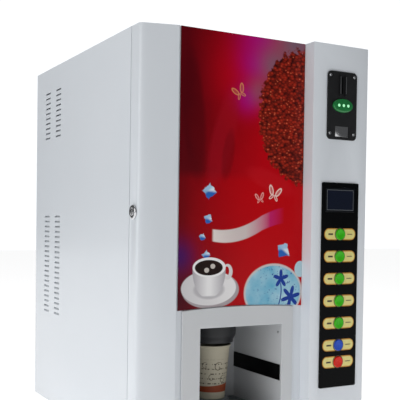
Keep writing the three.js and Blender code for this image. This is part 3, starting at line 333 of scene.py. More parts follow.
# ---- Panel screws: pan-head steel screws with a cross recess that hold the back sheet, the
# inlet and the hinge leaves. One tree turns a head and its recess and sets it at every point.
def screw_tree(finish):
    tree = bpy.data.node_groups.new("panel_screws", "GeometryNodeTree")
    tree.interface.new_socket("Points", in_out="INPUT", socket_type="NodeSocketGeometry")
    for name, value in (("Head Radius", 0.0035), ("Head Height", 0.0016)):
        tree.interface.new_socket(name, in_out="INPUT", socket_type="NodeSocketFloat").default_value = value
    tree.interface.new_socket("Turn", in_out="INPUT", socket_type="NodeSocketVector")
    tree.interface.new_socket("Screws", in_out="OUTPUT", socket_type="NodeSocketGeometry")
    link = tree.links.new

    def node(kind, **settings):
        made = tree.nodes.new("GeometryNode" + kind if kind != "Math" else "ShaderNodeMath")
        for key, value in settings.items():
            setattr(made, key, value)
        return made

    source, end = tree.nodes.new("NodeGroupInput"), tree.nodes.new("NodeGroupOutput")
    head = node("MeshCone", fill_type="NGON")
    head.inputs["Vertices"].default_value = 20
    crown = node("Math", operation="MULTIPLY")
    crown.inputs[1].default_value = 0.72
    link(source.outputs["Head Radius"], crown.inputs[0])
    link(source.outputs["Head Radius"], head.inputs["Radius Bottom"])
    link(crown.outputs[0], head.inputs["Radius Top"])
    link(source.outputs["Head Height"], head.inputs["Depth"])
    arm_length, arm_width = node("Math", operation="MULTIPLY"), node("Math", operation="MULTIPLY")
    for part, share in ((arm_length, 1.05), (arm_width, 0.24)):
        link(source.outputs["Head Radius"], part.inputs[0])
        part.inputs[1].default_value = share
    arms = []
    for order in ((arm_length, arm_width), (arm_width, arm_length)):
        size = tree.nodes.new("ShaderNodeCombineXYZ")
        link(order[0].outputs[0], size.inputs[0])
        link(order[1].outputs[0], size.inputs[1])
        link(source.outputs["Head Height"], size.inputs[2])
        bar = node("MeshCube")
        link(size.outputs[0], bar.inputs["Size"])
        raised = node("Transform")
        lift = tree.nodes.new("ShaderNodeCombineXYZ")
        link(source.outputs["Head Height"], lift.inputs[2])
        link(bar.outputs["Mesh"], raised.inputs["Geometry"])
        link(lift.outputs[0], raised.inputs["Translation"])
        arms.append(raised)
    recess = node("MeshBoolean", operation="DIFFERENCE")
    link(head.outputs["Mesh"], recess.inputs["Mesh 1"])
    for arm in arms:
        link(arm.outputs["Geometry"], recess.inputs["Mesh 2"])
    spread = node("InstanceOnPoints")
    turn = tree.nodes.new("FunctionNodeEulerToRotation")
    link(source.outputs["Turn"], turn.inputs[0])
    link(source.outputs["Points"], spread.inputs["Points"])
    link(recess.outputs["Mesh"], spread.inputs["Instance"])
    link(turn.outputs[0], spread.inputs["Rotation"])
    solid, coat = node("RealizeInstances"), node("SetMaterial")
    coat.inputs["Material"].default_value = finish.material
    link(spread.outputs["Instances"], solid.inputs["Geometry"])
    link(solid.outputs["Geometry"], coat.inputs["Geometry"])
    link(coat.outputs["Geometry"], end.inputs[0])
    return tree


def grown(name, tree, points, **sizes):
    """The mesh that a Geometry Nodes tree makes on these points, as a plain object."""
    seed = bpy.data.meshes.new(name + "_points")
    seed.from_pydata(points, [(i, i + 1) for i in range(len(points) - 1)] if tree.get("path") else [], [])
    carrier = bpy.data.objects.new(name + "_points", seed)
    bpy.context.scene.collection.objects.link(carrier)
    modifier = carrier.modifiers.new("tree", "NODES")
    modifier.node_group = tree
    for item in tree.interface.items_tree:
        if item.in_out == "INPUT" and item.name in sizes:
            modifier[item.identifier] = sizes[item.name]
    ready = carrier.evaluated_get(bpy.context.evaluated_depsgraph_get())
    mesh = bpy.data.meshes.new_from_object(ready)
    carrier.modifiers.remove(modifier)
    bpy.data.objects.remove(carrier)
    piece = bpy.data.objects.new(name, mesh)
    bpy.context.scene.collection.objects.link(piece)
    return piece


screw_steel = Finish("screw_steel", (172, 174, 176), 0.3, 1.0)
screw_steel.put("Base Color", screw_steel.mix(screw_steel.noise(900), tint(150, 152, 155),
                                              tint(190, 192, 194)))
screw_steel.rough(0.22, 0.42, 1200)
screws = screw_tree(screw_steel)
FACING_FRONT, FACING_BACK = (math.pi / 2, 0.0, 0.0), (-math.pi / 2, 0.0, 0.0)
FACING_LEFT = (0.0, -math.pi / 2, 0.0)


def screwed(name, body, points, turn, radius=0.0035, height=0.0016):
    """A set of screws on one body, whose heads stand on the given points."""
    piece = grown(name, screws, points, **{"Head Radius": radius, "Head Height": height, "Turn": turn})
    return placed(piece, body, "zinc_steel")


back_low, back_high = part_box("back_panel")
rows = [back_low.z + 0.012 + i * (back_high.z - back_low.z - 0.024) / 4 for i in range(5)]
screwed("back_panel_screws", "cabinet",
        [(x, back_high.y + 0.0001, z) for x in (back_low.x + 0.0125, back_high.x - 0.0125) for z in rows]
        + [(x, back_high.y + 0.0001, rows[i]) for x in (-0.06, 0.07) for i in (0, 4)], FACING_BACK)
inlet_low, inlet_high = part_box("power_inlet")
inlet_z = (inlet_low.z + inlet_high.z) / 2
screwed("inlet_screws", "cabinet", [(x, inlet_high.y + 0.0001, inlet_z) for x in (inlet_low.x + 0.0048,
                                                                              inlet_high.x - 0.0048)],
        FACING_BACK, 0.0026, 0.0012)


# ---- Vent louvres: the metal of every side slot is pressed inwards as a slanted lip, so no
# finger reaches in and only pale painted steel shows in the slot.
def louvre_tree(finish):
    tree = bpy.data.node_groups.new("vent_louvres", "GeometryNodeTree")
    tree.interface.new_socket("Points", in_out="INPUT", socket_type="NodeSocketGeometry")
    tree.interface.new_socket("Lip Size", in_out="INPUT", socket_type="NodeSocketVector")
    tree.interface.new_socket("Slant", in_out="INPUT", socket_type="NodeSocketVector")
    tree.interface.new_socket("Louvres", in_out="OUTPUT", socket_type="NodeSocketGeometry")
    source, end = tree.nodes.new("NodeGroupInput"), tree.nodes.new("NodeGroupOutput")
    lip, turn, spread, solid, coat = (tree.nodes.new(kind) for kind in (
        "GeometryNodeMeshCube", "FunctionNodeEulerToRotation", "GeometryNodeInstanceOnPoints",
        "GeometryNodeRealizeInstances", "GeometryNodeSetMaterial"))
    coat.inputs["Material"].default_value = finish.material
    for sender, receiver in ((source.outputs["Lip Size"], lip.inputs["Size"]),
                             (source.outputs["Slant"], turn.inputs[0]),
                             (source.outputs["Points"], spread.inputs["Points"]),
                             (lip.outputs["Mesh"], spread.inputs["Instance"]),
                             (turn.outputs[0], spread.inputs["Rotation"]),
                             (spread.outputs["Instances"], solid.inputs["Geometry"]),
                             (solid.outputs["Geometry"], coat.inputs["Geometry"]),
                             (coat.outputs["Geometry"], end.inputs[0])):
        tree.links.new(sender, receiver)
    return tree


louvres = louvre_tree(paint)
side_low, side_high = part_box("left_side_panel")
slot_pitch, lowest_row, top_row_drop = 0.0108, 0.195, 0.0525
slot_rows = [side_low.z + lowest_row + i * slot_pitch for i in range(20)]
slot_rows += [side_high.z - top_row_drop - i * slot_pitch for i in range(10)]
slot_columns = [(side_high.y - 0.080, 0.0), (side_high.y - 0.149, 0.0002)]
for name, x, slant in (("left", side_low.x + 0.0033, 0.75),
                       ("right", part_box("right_side_panel")[1].x - 0.0033, -0.75)):
    lips = grown(f"vent_louvres_{name}", louvres,
                 [(x, y, z + rise) for y, rise in slot_columns for z in slot_rows],
                 **{"Lip Size": (0.0009, 0.036, 0.0066), "Slant": (0.0, slant, 0.0)})
    placed(lips, "cabinet", "white_paint")


# ---- Machine wall and shelves: brushed stainless sheet that carries the canisters, the
# whipper motors and the cup magazine.
brushed = Finish("brushed_stainless", (190, 192, 194), 0.3, 1.0)
along = brushed.node("ShaderNodeMapping", {}, {"Vector": brushed.where, "Scale": (6.0, 6.0, 900.0)})
strokes = brushed.noise(1.0, 4.0, along)
brushed.put("Base Color", brushed.mix(strokes, tint(172, 174, 177), tint(200, 202, 204)))
brushed.put("Roughness", strokes * 0.22 + 0.2)
brushed.bump(strokes, 0.08, 0.0002)
for node in ("machine_wall", "middle_shelf", "canister_shelf"):
    softened(node, brushed, "stainless", "cabinet", 0.0004, 2, flat=True)


# ---- Cup magazine: a black moulded housing with a grey turning ring that lets one cup go,
# and a clear tube above it that stacks the spare paper cups.
moulded = Finish("black_moulding", (24, 25, 28), 0.5)
moulded.rough(0.42, 0.6, 300, 4.0)
moulded.put("Base Color", moulded.mix(moulded.noise(12, 5.0), tint(20, 21, 24), tint(32, 33, 36)))
moulded.bump(moulded.noise(2600, 1.0), 0.12, 0.00025)
softened("cup_drop_housing", moulded, "black_plastic", "cabinet", 0.001)
grey = Finish("grey_moulding", (112, 117, 122), 0.5)
grey.put("Base Color", grey.mix(grey.noise(25, 5.0), tint(104, 109, 114), tint(122, 127, 132)))
grey.bump(grey.noise(2200, 1.0), 0.12, 0.00025)
softened("cup_drop_ring", grey, "grey_plastic", "cup_drop_ring", 0.0006)
clear = Finish("clear_canister_plastic", (222, 230, 234), 0.16, Transmission_Weight=0.85, IOR=1.46)
clear.put("Base Color", clear.mix(clear.noise(8, 3.0), tint(214, 226, 230), tint(232, 238, 240)))
clear.bump(clear.noise(60), 0.04, 0.0005)
dressed("cup_tube", clear)


# ---- Canisters, augers, bowls and whippers: clear moulded tubs that hold the powders, each
# with a steel auger, and under each a bowl whose whipper beats the powder into the water.
for i in (1, 2, 3):
    dressed(f"canister_{i}", clear)
    dressed(f"mixing_bowl_{i}", clear)
    dressed(f"auger_{i}", brushed)
    dressed(f"whipper_{i}", moulded)


# ---- Canister lids and gear motors: a push-on lid with a finger tab on each canister, and
# behind the shelf and the wall a round motor for each auger and each whipper.
white_moulding = Finish("white_moulding", (214, 216, 216), 0.45)
white_moulding.put("Base Color", white_moulding.mix(white_moulding.noise(30, 4.0), tint(206, 208, 208),
                                                    tint(222, 224, 224)))
white_moulding.bump(white_moulding.noise(1800, 1.0), 0.08, 0.0003)
for i in (1, 2, 3):
    low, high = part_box(f"canister_{i}")
    front = high.y - 0.190
    outline = [(low.x + 0.0006, front + 0.004), (low.x + 0.004, front + 0.0006),
               (high.x - 0.004, front + 0.0006), (high.x - 0.0006, front + 0.004),
               (high.x - 0.0006, high.y - 0.004), (high.x - 0.004, high.y - 0.0006),
               (low.x + 0.004, high.y - 0.0006), (low.x + 0.0006, high.y - 0.004)]
    centre = Vector(((low.x + high.x) / 2, (front + high.y) / 2))
    rings = []
    for share, z in ((1.0, 0.0003), (1.0, 0.0038), (0.975, 0.0048), (0.8, 0.0048), (0.78, 0.0034)):
        rings.append([(centre.x + (x - centre.x) * share, centre.y + (y - centre.y) * share, high.z + z)
                      for x, y in outline])
    vertices = [corner for ring in rings for corner in ring]
    faces = [(r * 8 + k, r * 8 + (k + 1) % 8, (r + 1) * 8 + (k + 1) % 8, (r + 1) * 8 + k)
             for r in range(4) for k in range(8)]
    faces += [tuple(range(8)), tuple(range(32, 40))]
    placed(shaped(f"canister_lid_{i}", vertices, faces, white_moulding, False), "cabinet", "white_plastic")
    for kind, reach, bore, start, seat, end in (("auger", 0.018, 0.0042, -0.0172, 0.001, 0.026),
                                                ("whipper", 0.016, 0.0042, -0.0112, 0.001, 0.028)):
        low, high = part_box(f"{kind}_{i}")
        axis = (low + high) / 2
        back = high.y
        can = [(bore, back + start), (reach, back + start), (reach, back + start + 0.012),
               (reach - 0.001, back + start + 0.013), (reach - 0.001, back + end - 0.002),
               (reach - 0.003, back + end), (0.005, back + end), (0.005, back + end + 0.004),
               (0, back + end + 0.004)]
        can = can[::-1] + [(bore, back + seat), (0, back + seat)]
        placed(turned(f"{kind}_motor_{i}", can, (axis.x, 0, axis.z), "y", zinc, 32), "cabinet", "zinc_steel")


# ---- Boiler, pump, power supply and coin box: the parts that stand on the base pan.
for node in ("water_pump", "coin_box"):
    softened(node, moulded, "black_plastic", "cabinet", 0.001, 2)
softened("boiler_tank", brushed, "stainless", "cabinet", 0.0012, 2, 40)
softened("power_supply", zinc, "zinc_steel", "cabinet", 0.0008, 2)


# ---- Fan and power inlet: black glass-filled mouldings held in the back panel.
softened("fan_housing", moulded, "black_plastic", "cabinet", 0.0005, 2)
dressed("fan_rotor", moulded)
softened("power_inlet", moulded, "black_plastic", "cabinet", 0.0003, 2)


# ---- Door: one folded and welded steel shell with a slanted post at the left and a raised
# control column at the right, hung on two steel hinge leaves.
softened("door_shell", paint, "white_paint", "door", 0.0016, 4)
for leaf, body in (("hinge_cabinet_leaf", "cabinet"), ("hinge_door_leaf", "door")):
    softened(leaf, zinc, "zinc_steel", body, 0.0003, 2)


# ---- Poster: a printed sheet under a clear gloss film. Its print is generic: a plain round
# heap of coffee beans, a blank ribbon, butterflies, sugar cubes, a cup and blue flowers on red.
art = Finish("poster_print", (170, 0, 10), 0.32, Coat_Weight=0.04, Coat_Roughness=0.1, Specular_IOR_Level=0.1)
low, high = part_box("poster_panel")
poster_x, poster_z, poster_wide, poster_tall = low.x, low.z, high.x - low.x, high.z - low.z
where_x, _, where_z = art.axes()
s = (where_x - poster_x) / poster_wide
t = (where_z - poster_z) / poster_tall
drift = art.noise(9.0, 4.0)
fine = art.noise(260.0, 2.0)


def blot(u, v, wide, tall, turn=0.0, edge=14.0):
    """A filled oval on the sheet: 1 inside, 0 outside, with a soft rim. Sizes are shares of the sheet."""
    across, upward = (s - u) * poster_wide, (t - v) * poster_tall
    c, n = math.cos(math.radians(turn)), math.sin(math.radians(turn))
    a = (across * c + upward * n) / (wide * poster_wide)
    b = (upward * c - across * n) / (tall * poster_wide)
    return ((1 - (a * a + b * b).of("SQRT")) * edge).ranged()


def glow(u, v, reach):
    a, b = (s - u) * (poster_wide / reach), (t - v) * (poster_tall / reach)
    return art.maths("POWER", 2.718, (a * a + b * b) * -1)


def wash(under, u, v, reach, strength, *hue):
    """A soft glow of colour on the print."""
    return art.mix(glow(u, v, reach) * strength, under, tint(*hue))


ground = art.mix((s * 1.7 - 0.1 + (drift - 0.5) * 0.5).ranged(), tint(92, 3, 14), tint(190, 0, 16))
ground = art.mix(((0.50 - t) * 30).ranged() * (s * 0.9 + 0.15).ranged(), ground, tint(196, 0, 12))
ground = wash(ground, 0.44, 0.86, 0.055, 0.7, 196, 2, 26)
for u, v, reach in ((0.62, 1.0, 0.040), (0.58, 0.90, 0.030), (0.52, 0.77, 0.024)):
    ground = wash(ground, u, v, reach, 0.85, 176, 6, 128)
for u, v, reach, strength in ((0.92, 0.99, 0.045, 0.95), (0.74, 0.90, 0.030, 0.8), (0.62, 0.80, 0.022, 0.5)):
    ground = wash(ground, u, v, reach, strength, 126, 100, 118)
ground = wash(ground, 0.0, 0.19, 0.028, 0.85, 62, 18, 104)
ground = wash(ground, 0.02, 0.04, 0.045, 0.7, 44, 6, 26)
for u, v, wide, tall, turn, hue in ((0.33, 0.62, 0.10, 0.42, -14, (168, 16, 34)),
                                    (0.37, 0.56, 0.055, 0.20, -8, (112, 2, 14)),
                                    (0.72, 0.47, 0.24, 0.08, -20, (200, 22, 34)),
                                    (0.10, 0.70, 0.10, 0.50, 6, (66, 2, 10))):
    ground = art.mix(blot(u, v, wide, tall, turn, 3.0) * 0.45, ground, tint(*hue))

heap = blot(1.0, 0.72, 0.42, 0.52, 0, 3.0)
tilted = art.node("ShaderNodeMapping", {}, {"Vector": art.where, "Rotation": (0.0, 0.6, 0.0),
                                            "Scale": (150.0, 20.0, 225.0)})
beans = art.node("ShaderNodeTexVoronoi", {}, {"Vector": tilted, "Scale": 1.0, "Randomness": 1.0})
bean_hue = Wire(art, beans.socket.node.outputs["Color"])
bean_pick, bean_turn, _ = art.axes(bean_hue)
heap = (heap * 1.9 + (art.noise(95.0, 2.0) - 0.5) * 1.6 - 0.35).ranged(5.0) * (heap > 0.02)
bean = art.mix((1.2 - beans * 1.3).ranged(), tint(46, 6, 8), tint(178, 46, 28))
bean = art.mix((bean_pick * 1.6 - 0.7).ranged() * 0.8, bean, tint(60, 14, 12))
bean = art.mix((0.30 - beans).ranged(5.0) * (bean_turn > 0.55) * 0.8, bean, tint(226, 116, 78))
ground = art.mix(heap, ground, bean)


def butterfly(under, u, v, size, turn, hue, strength):
    """The outline of four pointed wings."""
    wings = None
    for side in (-1, 1):
        for rise, reach, lean in ((0.62, 1.0, 62), (-0.30, 0.62, -50)):
            du = side * reach * 0.50 * size
            c, n = math.cos(math.radians(turn)), math.sin(math.radians(turn))
            dv = rise * size * 0.8
            place = (u + (du * c - dv * n), v + (du * n + dv * c) * poster_wide / poster_tall)
            whole = blot(*place, reach * 0.66 * size, 0.30 * size * reach, turn + side * lean, 12.0)
            inner = blot(*place, reach * 0.46 * size, 0.16 * size * reach, turn + side * lean, 12.0)
            wing = (whole - inner * 0.75).ranged()
            wings = wing if wings is None else wings.larger(wing)
    return art.mix(wings * strength, under, hue)


for u, v, size, turn, strength, hue in ((0.75, 0.418, 0.062, -14, 0.95, (250, 214, 206)),
                                        (0.633, 0.402, 0.042, 10, 0.9, (244, 176, 170)),
                                        (0.46, 0.785, 0.058, 30, 0.75, (226, 150, 96))):
    ground = butterfly(ground, u, v, size, turn, tint(*hue), strength)

ribbon_middle = (s - 0.34) * (s - 0.34) * 0.52 * ((1.15 - s) * 2.0).ranged() + 0.264
ribbon_off = (t - ribbon_middle).of("ABSOLUTE")
ribbon_half = s * 0.014 + 0.020
ribbon = ((ribbon_half - ribbon_off) * 260).ranged() * ((s - 0.25) * 60).ranged() * ((0.84 - s) * 9).ranged()
fold = ((s * 9.0).of("SINE") * 0.5 + 0.5).ranged()
ribbon_hue = art.mix(fold, tint(214, 200, 198), tint(238, 228, 222))
ribbon_hue = art.mix(((s - 0.52) * 5).ranged(), ribbon_hue, tint(196, 34, 104))
ground = art.mix(ribbon, ground, ribbon_hue)

for u, v, size, turn in ((0.228, 0.425, 0.040, 40), (0.224, 0.325, 0.030, 20), (0.180, 0.262, 0.022, 30),
                         (0.210, 0.197, 0.024, 42), (0.835, 0.212, 0.046, 8)):
    c, n = math.cos(math.radians(turn)), math.sin(math.radians(turn))
    a, b = (s - u) * poster_wide, (t - v) * poster_tall
    p, q = a * c + b * n, b * c - a * n
    reach = size * poster_wide
    ragged = (art.noise(160.0, 1.0) - 0.5) * 0.006
    square = ((reach + ragged - p.of("ABSOLUTE").larger(q.of("ABSOLUTE"))) * 900).ranged()
    side = ((p + q) * 160 + 0.4).ranged()
    face = art.mix(side, tint(46, 104, 190), tint(226, 238, 250))
    face = art.mix((q * 260).ranged() * 0.8, face, tint(150, 196, 230))
    ground = art.mix(square, ground, face)

ground = art.mix(blot(0.985, 0.140, 0.050, 0.060, 0, 14.0), ground, tint(186, 216, 226))
ground = art.mix(blot(0.757, 0.055, 0.250, 0.205, 0, 26.0), ground, tint(214, 206, 204))
petals = blot(0.757, 0.055, 0.236, 0.190, 0, 26.0)
dish = art.mix((art.noise(26.0, 3.0) * 2.4 - 0.7).ranged(), tint(96, 178, 210), tint(184, 220, 232))
speckles = (art.noise(240.0, 2.0) * 9 - 5.6).ranged()
dish = art.mix(speckles * ((s - 0.50) * 4).ranged(), dish, tint(30, 74, 160))
for u, v, reach, leaves in ((0.820, 0.105, 0.016, 5), (0.905, 0.034, 0.020, 6)):
    a, b = (s - u) * poster_wide, (t - v) * poster_tall
    spin = art.maths("ARCTAN2", b, a)
    radius = (a * a + b * b).of("SQRT")
    scallop = ((spin * leaves).of("SINE") * 0.35 + 0.75) * reach - radius
    vein = ((spin * leaves * 5).of("SINE") * 0.5 + 0.5)
    dish = art.mix((scallop * 700).ranged(), dish, art.mix(vein * 0.5, tint(14, 34, 138), tint(60, 110, 196)))
stalk = ((0.0016 - ((s - 0.80) * poster_wide - (t * 26).of("SINE") * 0.006).of("ABSOLUTE")) * 1200).ranged()
dish = art.mix(stalk * ((0.10 - t) * 60).ranged(), dish, tint(28, 70, 158))
ground = art.mix(petals, ground, dish)

shadow = blot(0.25, 0.070, 0.225, 0.128, 0, 26.0)
ground = art.mix(shadow, ground, tint(176, 166, 170))
ground = art.mix(blot(0.235, 0.078, 0.217, 0.120, 0, 26.0), ground,
                 art.mix((s * 2.6 - 0.1).ranged(), tint(214, 212, 214), tint(240, 238, 238)))
ground = art.mix(blot(0.235, 0.072, 0.130, 0.070, 0, 6.0) * 0.6, ground, tint(168, 164, 170))
handle = (blot(0.378, 0.135, 0.042, 0.056, 0, 12.0) - blot(0.372, 0.137, 0.020, 0.034, 0, 12.0)).ranged()
ground = art.mix(handle, ground, tint(226, 222, 222))
cup_tone = art.mix((((s - 0.235).of("ABSOLUTE")) * 8.5 - 0.1).ranged(), tint(244, 243, 243),
                   tint(176, 172, 178))
body = blot(0.235, 0.140, 0.130, 0.190, 0, 26.0) * ((0.152 - t) * 220).ranged() * ((t - 0.046) * 200).ranged()
ground = art.mix(body, ground, cup_tone)
ground = art.mix(blot(0.235, 0.152, 0.130, 0.069, 0, 26.0), ground, tint(244, 243, 243))
ground = art.mix(blot(0.232, 0.151, 0.110, 0.053, 0, 26.0), ground,
                 art.mix(art.noise(90.0), tint(16, 8, 8), tint(44, 24, 18)))
for u, v in ((0.215, 0.142), (0.262, 0.156)):
    ground = art.mix(blot(u, v, 0.020, 0.018, 0, 8.0), ground, tint(206, 198, 190))
art.put("Base Color", ground)
art.put("Roughness", fine * 0.08 + 0.26)
art.bump(art.noise(14.0, 2.0), 0.05, 0.001)
softened("poster_panel", art, "poster_print", "door", 0.0003, 2, flat=True)


# ---- Cup bay: one white ABS moulding, its bezel in front and the open box behind, a little
# greyer and dustier towards its floor, with a black sensor strip along the right wall.
bay_plastic = Finish("bay_moulding", (206, 208, 210), 0.42, Coat_Weight=0.1, Coat_Roughness=0.2)
_, _, bay_z = bay_plastic.axes()
bay_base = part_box("drip_tray")[0].z
stain = ((bay_base + 0.03 - bay_z) * 26).ranged() * bay_plastic.noise(45, 6.0)
bay_plastic.put("Base Color", bay_plastic.mix(stain * 0.5, bay_plastic.mix(
    bay_plastic.noise(5.0, 4.0), tint(200, 203, 206), tint(212, 214, 216)), tint(150, 140, 128)))
bay_plastic.rough(0.36, 0.5, 40, 4.0)
bay_plastic.bump(bay_plastic.noise(1800, 1.0), 0.08, 0.0003)
softened("cup_bay", bay_plastic, "white_plastic", "door", 0.0014, 4, flat=True)

gloss = Finish("black_gloss_panel", (8, 9, 11), 0.2, Coat_Weight=0.0, Coat_Roughness=0.08,
               Specular_IOR_Level=0.06)
gloss.put("Base Color", gloss.mix(gloss.noise(18, 5.0), tint(3, 4, 5), tint(9, 10, 12)))
gloss.rough(0.16, 0.3, 70, 5.0)
gloss.bump(gloss.noise(30, 2.0), 0.03, 0.0004)
softened("cup_sensor_strip", gloss, "black_gloss", "door", 0.0004, 2, flat=True)
strip_low, strip_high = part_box("cup_sensor_strip")
screwed("bay_wall_screw", "door", [(strip_high.x + 0.0002, strip_low.y + 0.008, strip_high.z + 0.058)],
        FACING_LEFT, 0.0024, 0.001)


# ---- Drink shroud: a black collar hung through the bay's ceiling that guides the cup down
# and hides the three drink nozzles behind it.
low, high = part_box("drink_shroud")
middle = (low + high) / 2
bore, wall = 0.0385, 0.0018
top_reach = (high.x - low.x) / 2 - 0.006
collar = [(bore, low.z), (bore + wall - 0.0004, low.z), (bore + wall, low.z + 0.0004)]
collar += [(bore + wall + (top_reach - bore - wall) * (1 - math.cos(math.pi * i / 12)) / 2,
            low.z + 0.002 + 0.014 * i / 12)
           for i in range(13)]
collar += [(top_reach, high.z - 0.0022), (top_reach + 0.0055, high.z - 0.002),
           (top_reach + 0.006, high.z - 0.0015),
           (top_reach + 0.006, high.z - 0.0004), (top_reach + 0.0056, high.z), (top_reach - wall, high.z),
           (top_reach - wall, low.z + 0.017), (bore, low.z)]
placed(turned("drink_collar", collar, (middle.x, middle.y, 0), "z", moulded),
       "door", "black_plastic", "drink_shroud")


# ---- Drip tray and grille: a grey tray that slides out, and on it a slotted grille with a
# raised round stand that lifts the cup to the drink.
softened("drip_tray", grey, "grey_plastic", "drip_tray", 0.0006)
softened("drip_grille", grey, "grey_plastic", "drip_tray", 0.0005)


# ---- Paper cup: cream board rolled into a cone with a seam, a rolled rim and a bottom set
# up inside, printed with a small swirl and a slanted warm band. The board's tone is painted
# darker than cream, as painted shade for the cup standing in the bay.
board = Finish("printed_cup_board", (226, 222, 208), 0.62)
low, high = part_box("paper_cup")
middle = (low + high) / 2
rise = high.z - low.z
board_x, board_y, board_z = board.axes()
round_angle = board.maths("ARCTAN2", board_y - middle.y, board_x - middle.x)
tall = (board_z - low.z) / rise
# The board tones are painted darker than the cream of the finish: painted shade of the bay on the cup.
shade_darkened_card = board.mix(board.noise(900, 2.0), tint(182, 175, 154), tint(200, 193, 172))
printed = ((0.76 - tall) * 16).ranged() * ((tall - 0.22) * 16).ranged()
around = round_angle * 0.0315
for turn, level, reach in ((-1.62, 0.60, 0.0105), (-2.05, 0.40, 0.008),
                           (-1.25, 0.36, 0.0095), (-2.45, 0.62, 0.008),
                           (-0.75, 0.58, 0.009), (0.1, 0.45, 0.010), (1.0, 0.6, 0.009), (1.9, 0.42, 0.010)):
    a, b = around - turn * 0.0315, (tall - level) * rise
    radius = (a * a + b * b).of("SQRT")
    curl = (radius * (7.0 / reach) + board.maths("ARCTAN2", b, a)).of("SINE")
    line = (curl * 3 - 2.1).ranged() * ((reach - radius) * 900).ranged() * printed
    shade_darkened_card = board.mix(line * 0.95, shade_darkened_card, tint(74, 62, 44))
marks = board.node("ShaderNodeCombineXYZ", {}, {0: around * 300, 1: 0.0, 2: tall * 11})
row = ((tall * 11 * 6.2832).of("SINE") * 4 - 2.4).ranged()
dash = (board.noise(1.0, 1.0, marks) * 12 - 5.6).ranged()
shade_darkened_card = board.mix(row * dash * printed * 0.85, shade_darkened_card, tint(52, 42, 30))
upper = tall - ((board_x - middle.x) * 1.0 + 0.27)
band = (upper * -90).ranged() * ((tall - 0.125) * 90).ranged()
shade_darkened_card = board.mix(band, shade_darkened_card, board.mix(board.noise(120, 3.0), tint(134, 50, 16), tint(166, 74, 28)))
board.put("Base Color", shade_darkened_card)
board.bump(board.noise(1400, 2.0), 0.15, 0.0002)
rim, base = (high.x - low.x) / 2, 0.026
wall = 0.001
slope = (rim - 0.0022 - base) / (rise - 0.003)
cup_profile = [(0, 0.005), (base - wall - 0.0006, 0.005), (base - wall - 0.0006, 0.0002),
               (base - 0.0004, 0), (base, 0.0006)]
cup_profile += [(base + slope * h, h) for h in (0.02, 0.04, 0.06, 0.08, rise - 0.0042)]
cup_profile += [(rim - 0.0012 + 0.0012 * math.cos(a), rise - 0.0016 + 0.0016 * math.sin(a))
                for a in [math.radians(d) for d in range(-90, 226, 35)]]
cup_profile += [(base - wall + slope * h, h) for h in (rise - 0.006, 0.06, 0.03, 0.0062)] + [(0, 0.006)]
placed(turned("printed_cup", cup_profile, (middle.x, middle.y, low.z), "z", board, 72),
       "paper_cup", "paper", "paper_cup")


# ---- Coin plate: a textured black die-casting with two ribs beside the slot, held by four
# screws, over the black coin selector.
casting = Finish("coin_plate_casting", (22, 23, 25), 0.42, 0.35)
casting.rough(0.34, 0.5, 500, 3.0)
casting.bump(casting.noise(3200, 2.0), 0.2, 0.0003)
casting.put("Base Color", casting.mix(casting.noise(60, 5.0), tint(17, 18, 20), tint(34, 35, 37)))
softened("coin_plate", casting, "black_plastic", "door", 0.0008, flat=True)
low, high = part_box("coin_plate")
middle = (low + high) / 2
plate_face = low.y + 0.0025
screwed("coin_plate_screws", "door", [(middle.x + dx, plate_face - 0.0001, middle.z + dz)
                                      for dx in (-0.0274, 0.0274) for dz in (0.0542, -0.0509)],
        FACING_FRONT, 0.0028, 0.0013)
dressed("coin_mechanism", moulded)
slot_height = middle.z + 0.037
# Two thin steel strips on the rib faces beside the slot stand for the light lines along the rib edges: a
# painted highlight made as geometry.
for name, side in (("left", -1), ("right", 1)):
    placed(grown(f"slot_wear_strip_{name}", louvre_tree(screw_steel),
                 [(middle.x + side * 0.0063, low.y + 0.0001, slot_height)],
                 **{"Lip Size": (0.0011, 0.0006, 0.031), "Slant": (0.0, 0.0, 0.0)}), "door", "zinc_steel")


# ---- Reject button: a domed oval of clear green plastic with three lit dots, and below it a
# polished flap over the coin return.
green_lens = Finish("green_lens", (20, 110, 50), 0.18, Coat_Weight=0.6, Coat_Roughness=0.05)
low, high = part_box("reject_button")
middle = (low + high) / 2
lens_x, _, lens_z = green_lens.axes()
dots = None
for offset in (-0.0105, 0.0, 0.0105):
    a, b = lens_x - (middle.x + offset), lens_z - middle.z
    dot = ((0.0030 - (a * a + b * b).of("SQRT")) * 1500).ranged()
    dots = dot if dots is None else dots.larger(dot)
green_lens.put("Base Color", green_lens.mix(dots, green_lens.mix(green_lens.noise(50, 3.0), tint(14, 96, 44),
                                                                 tint(30, 132, 62)), tint(170, 240, 190)))
green_lens.put("Emission Color", green_lens.mix(dots, (0.0, 0.012, 0.004), tint(150, 235, 175)))
green_lens.put("Emission Strength", 0.7)
half_x, half_z, deep = (high.x - low.x) / 2, (high.z - low.z) / 2, high.y - low.y
vertices, faces, steps = [], [], 72
lens_profile = [(1.0, deep), (1.0, 0.0022), (0.985, 0.0012), (0.95, 0.0006), (0.8, 0.0002),
                (0.5, 0.0), (0.2, 0.0)]
for share, depth in lens_profile:
    vertices += [(middle.x + half_x * share * math.cos(2 * math.pi * i / steps), low.y + depth,
                  middle.z + half_z * share * math.sin(2 * math.pi * i / steps)) for i in range(steps)]
for ring in range(len(lens_profile) - 1):
    faces += [(ring * steps + i, ring * steps + (i + 1) % steps, (ring + 1) * steps + (i + 1) % steps,
               (ring + 1) * steps + i) for i in range(steps)]
faces += [tuple(range(steps)), tuple(range(len(vertices) - steps, len(vertices)))]
placed(keep_edges(shaped("reject_lens", vertices, faces, green_lens)),
       "reject_button", "coin_green", "reject_button")

chrome = Finish("polished_chrome", (206, 206, 208), 0.1, 1.0)
chrome.rough(0.06, 0.2, 160, 4.0)
chrome.put("Base Color", chrome.mix(chrome.noise(30), tint(196, 197, 200), tint(216, 216, 217)))
softened("return_flap", chrome, "chrome", "return_flap", 0.0004)


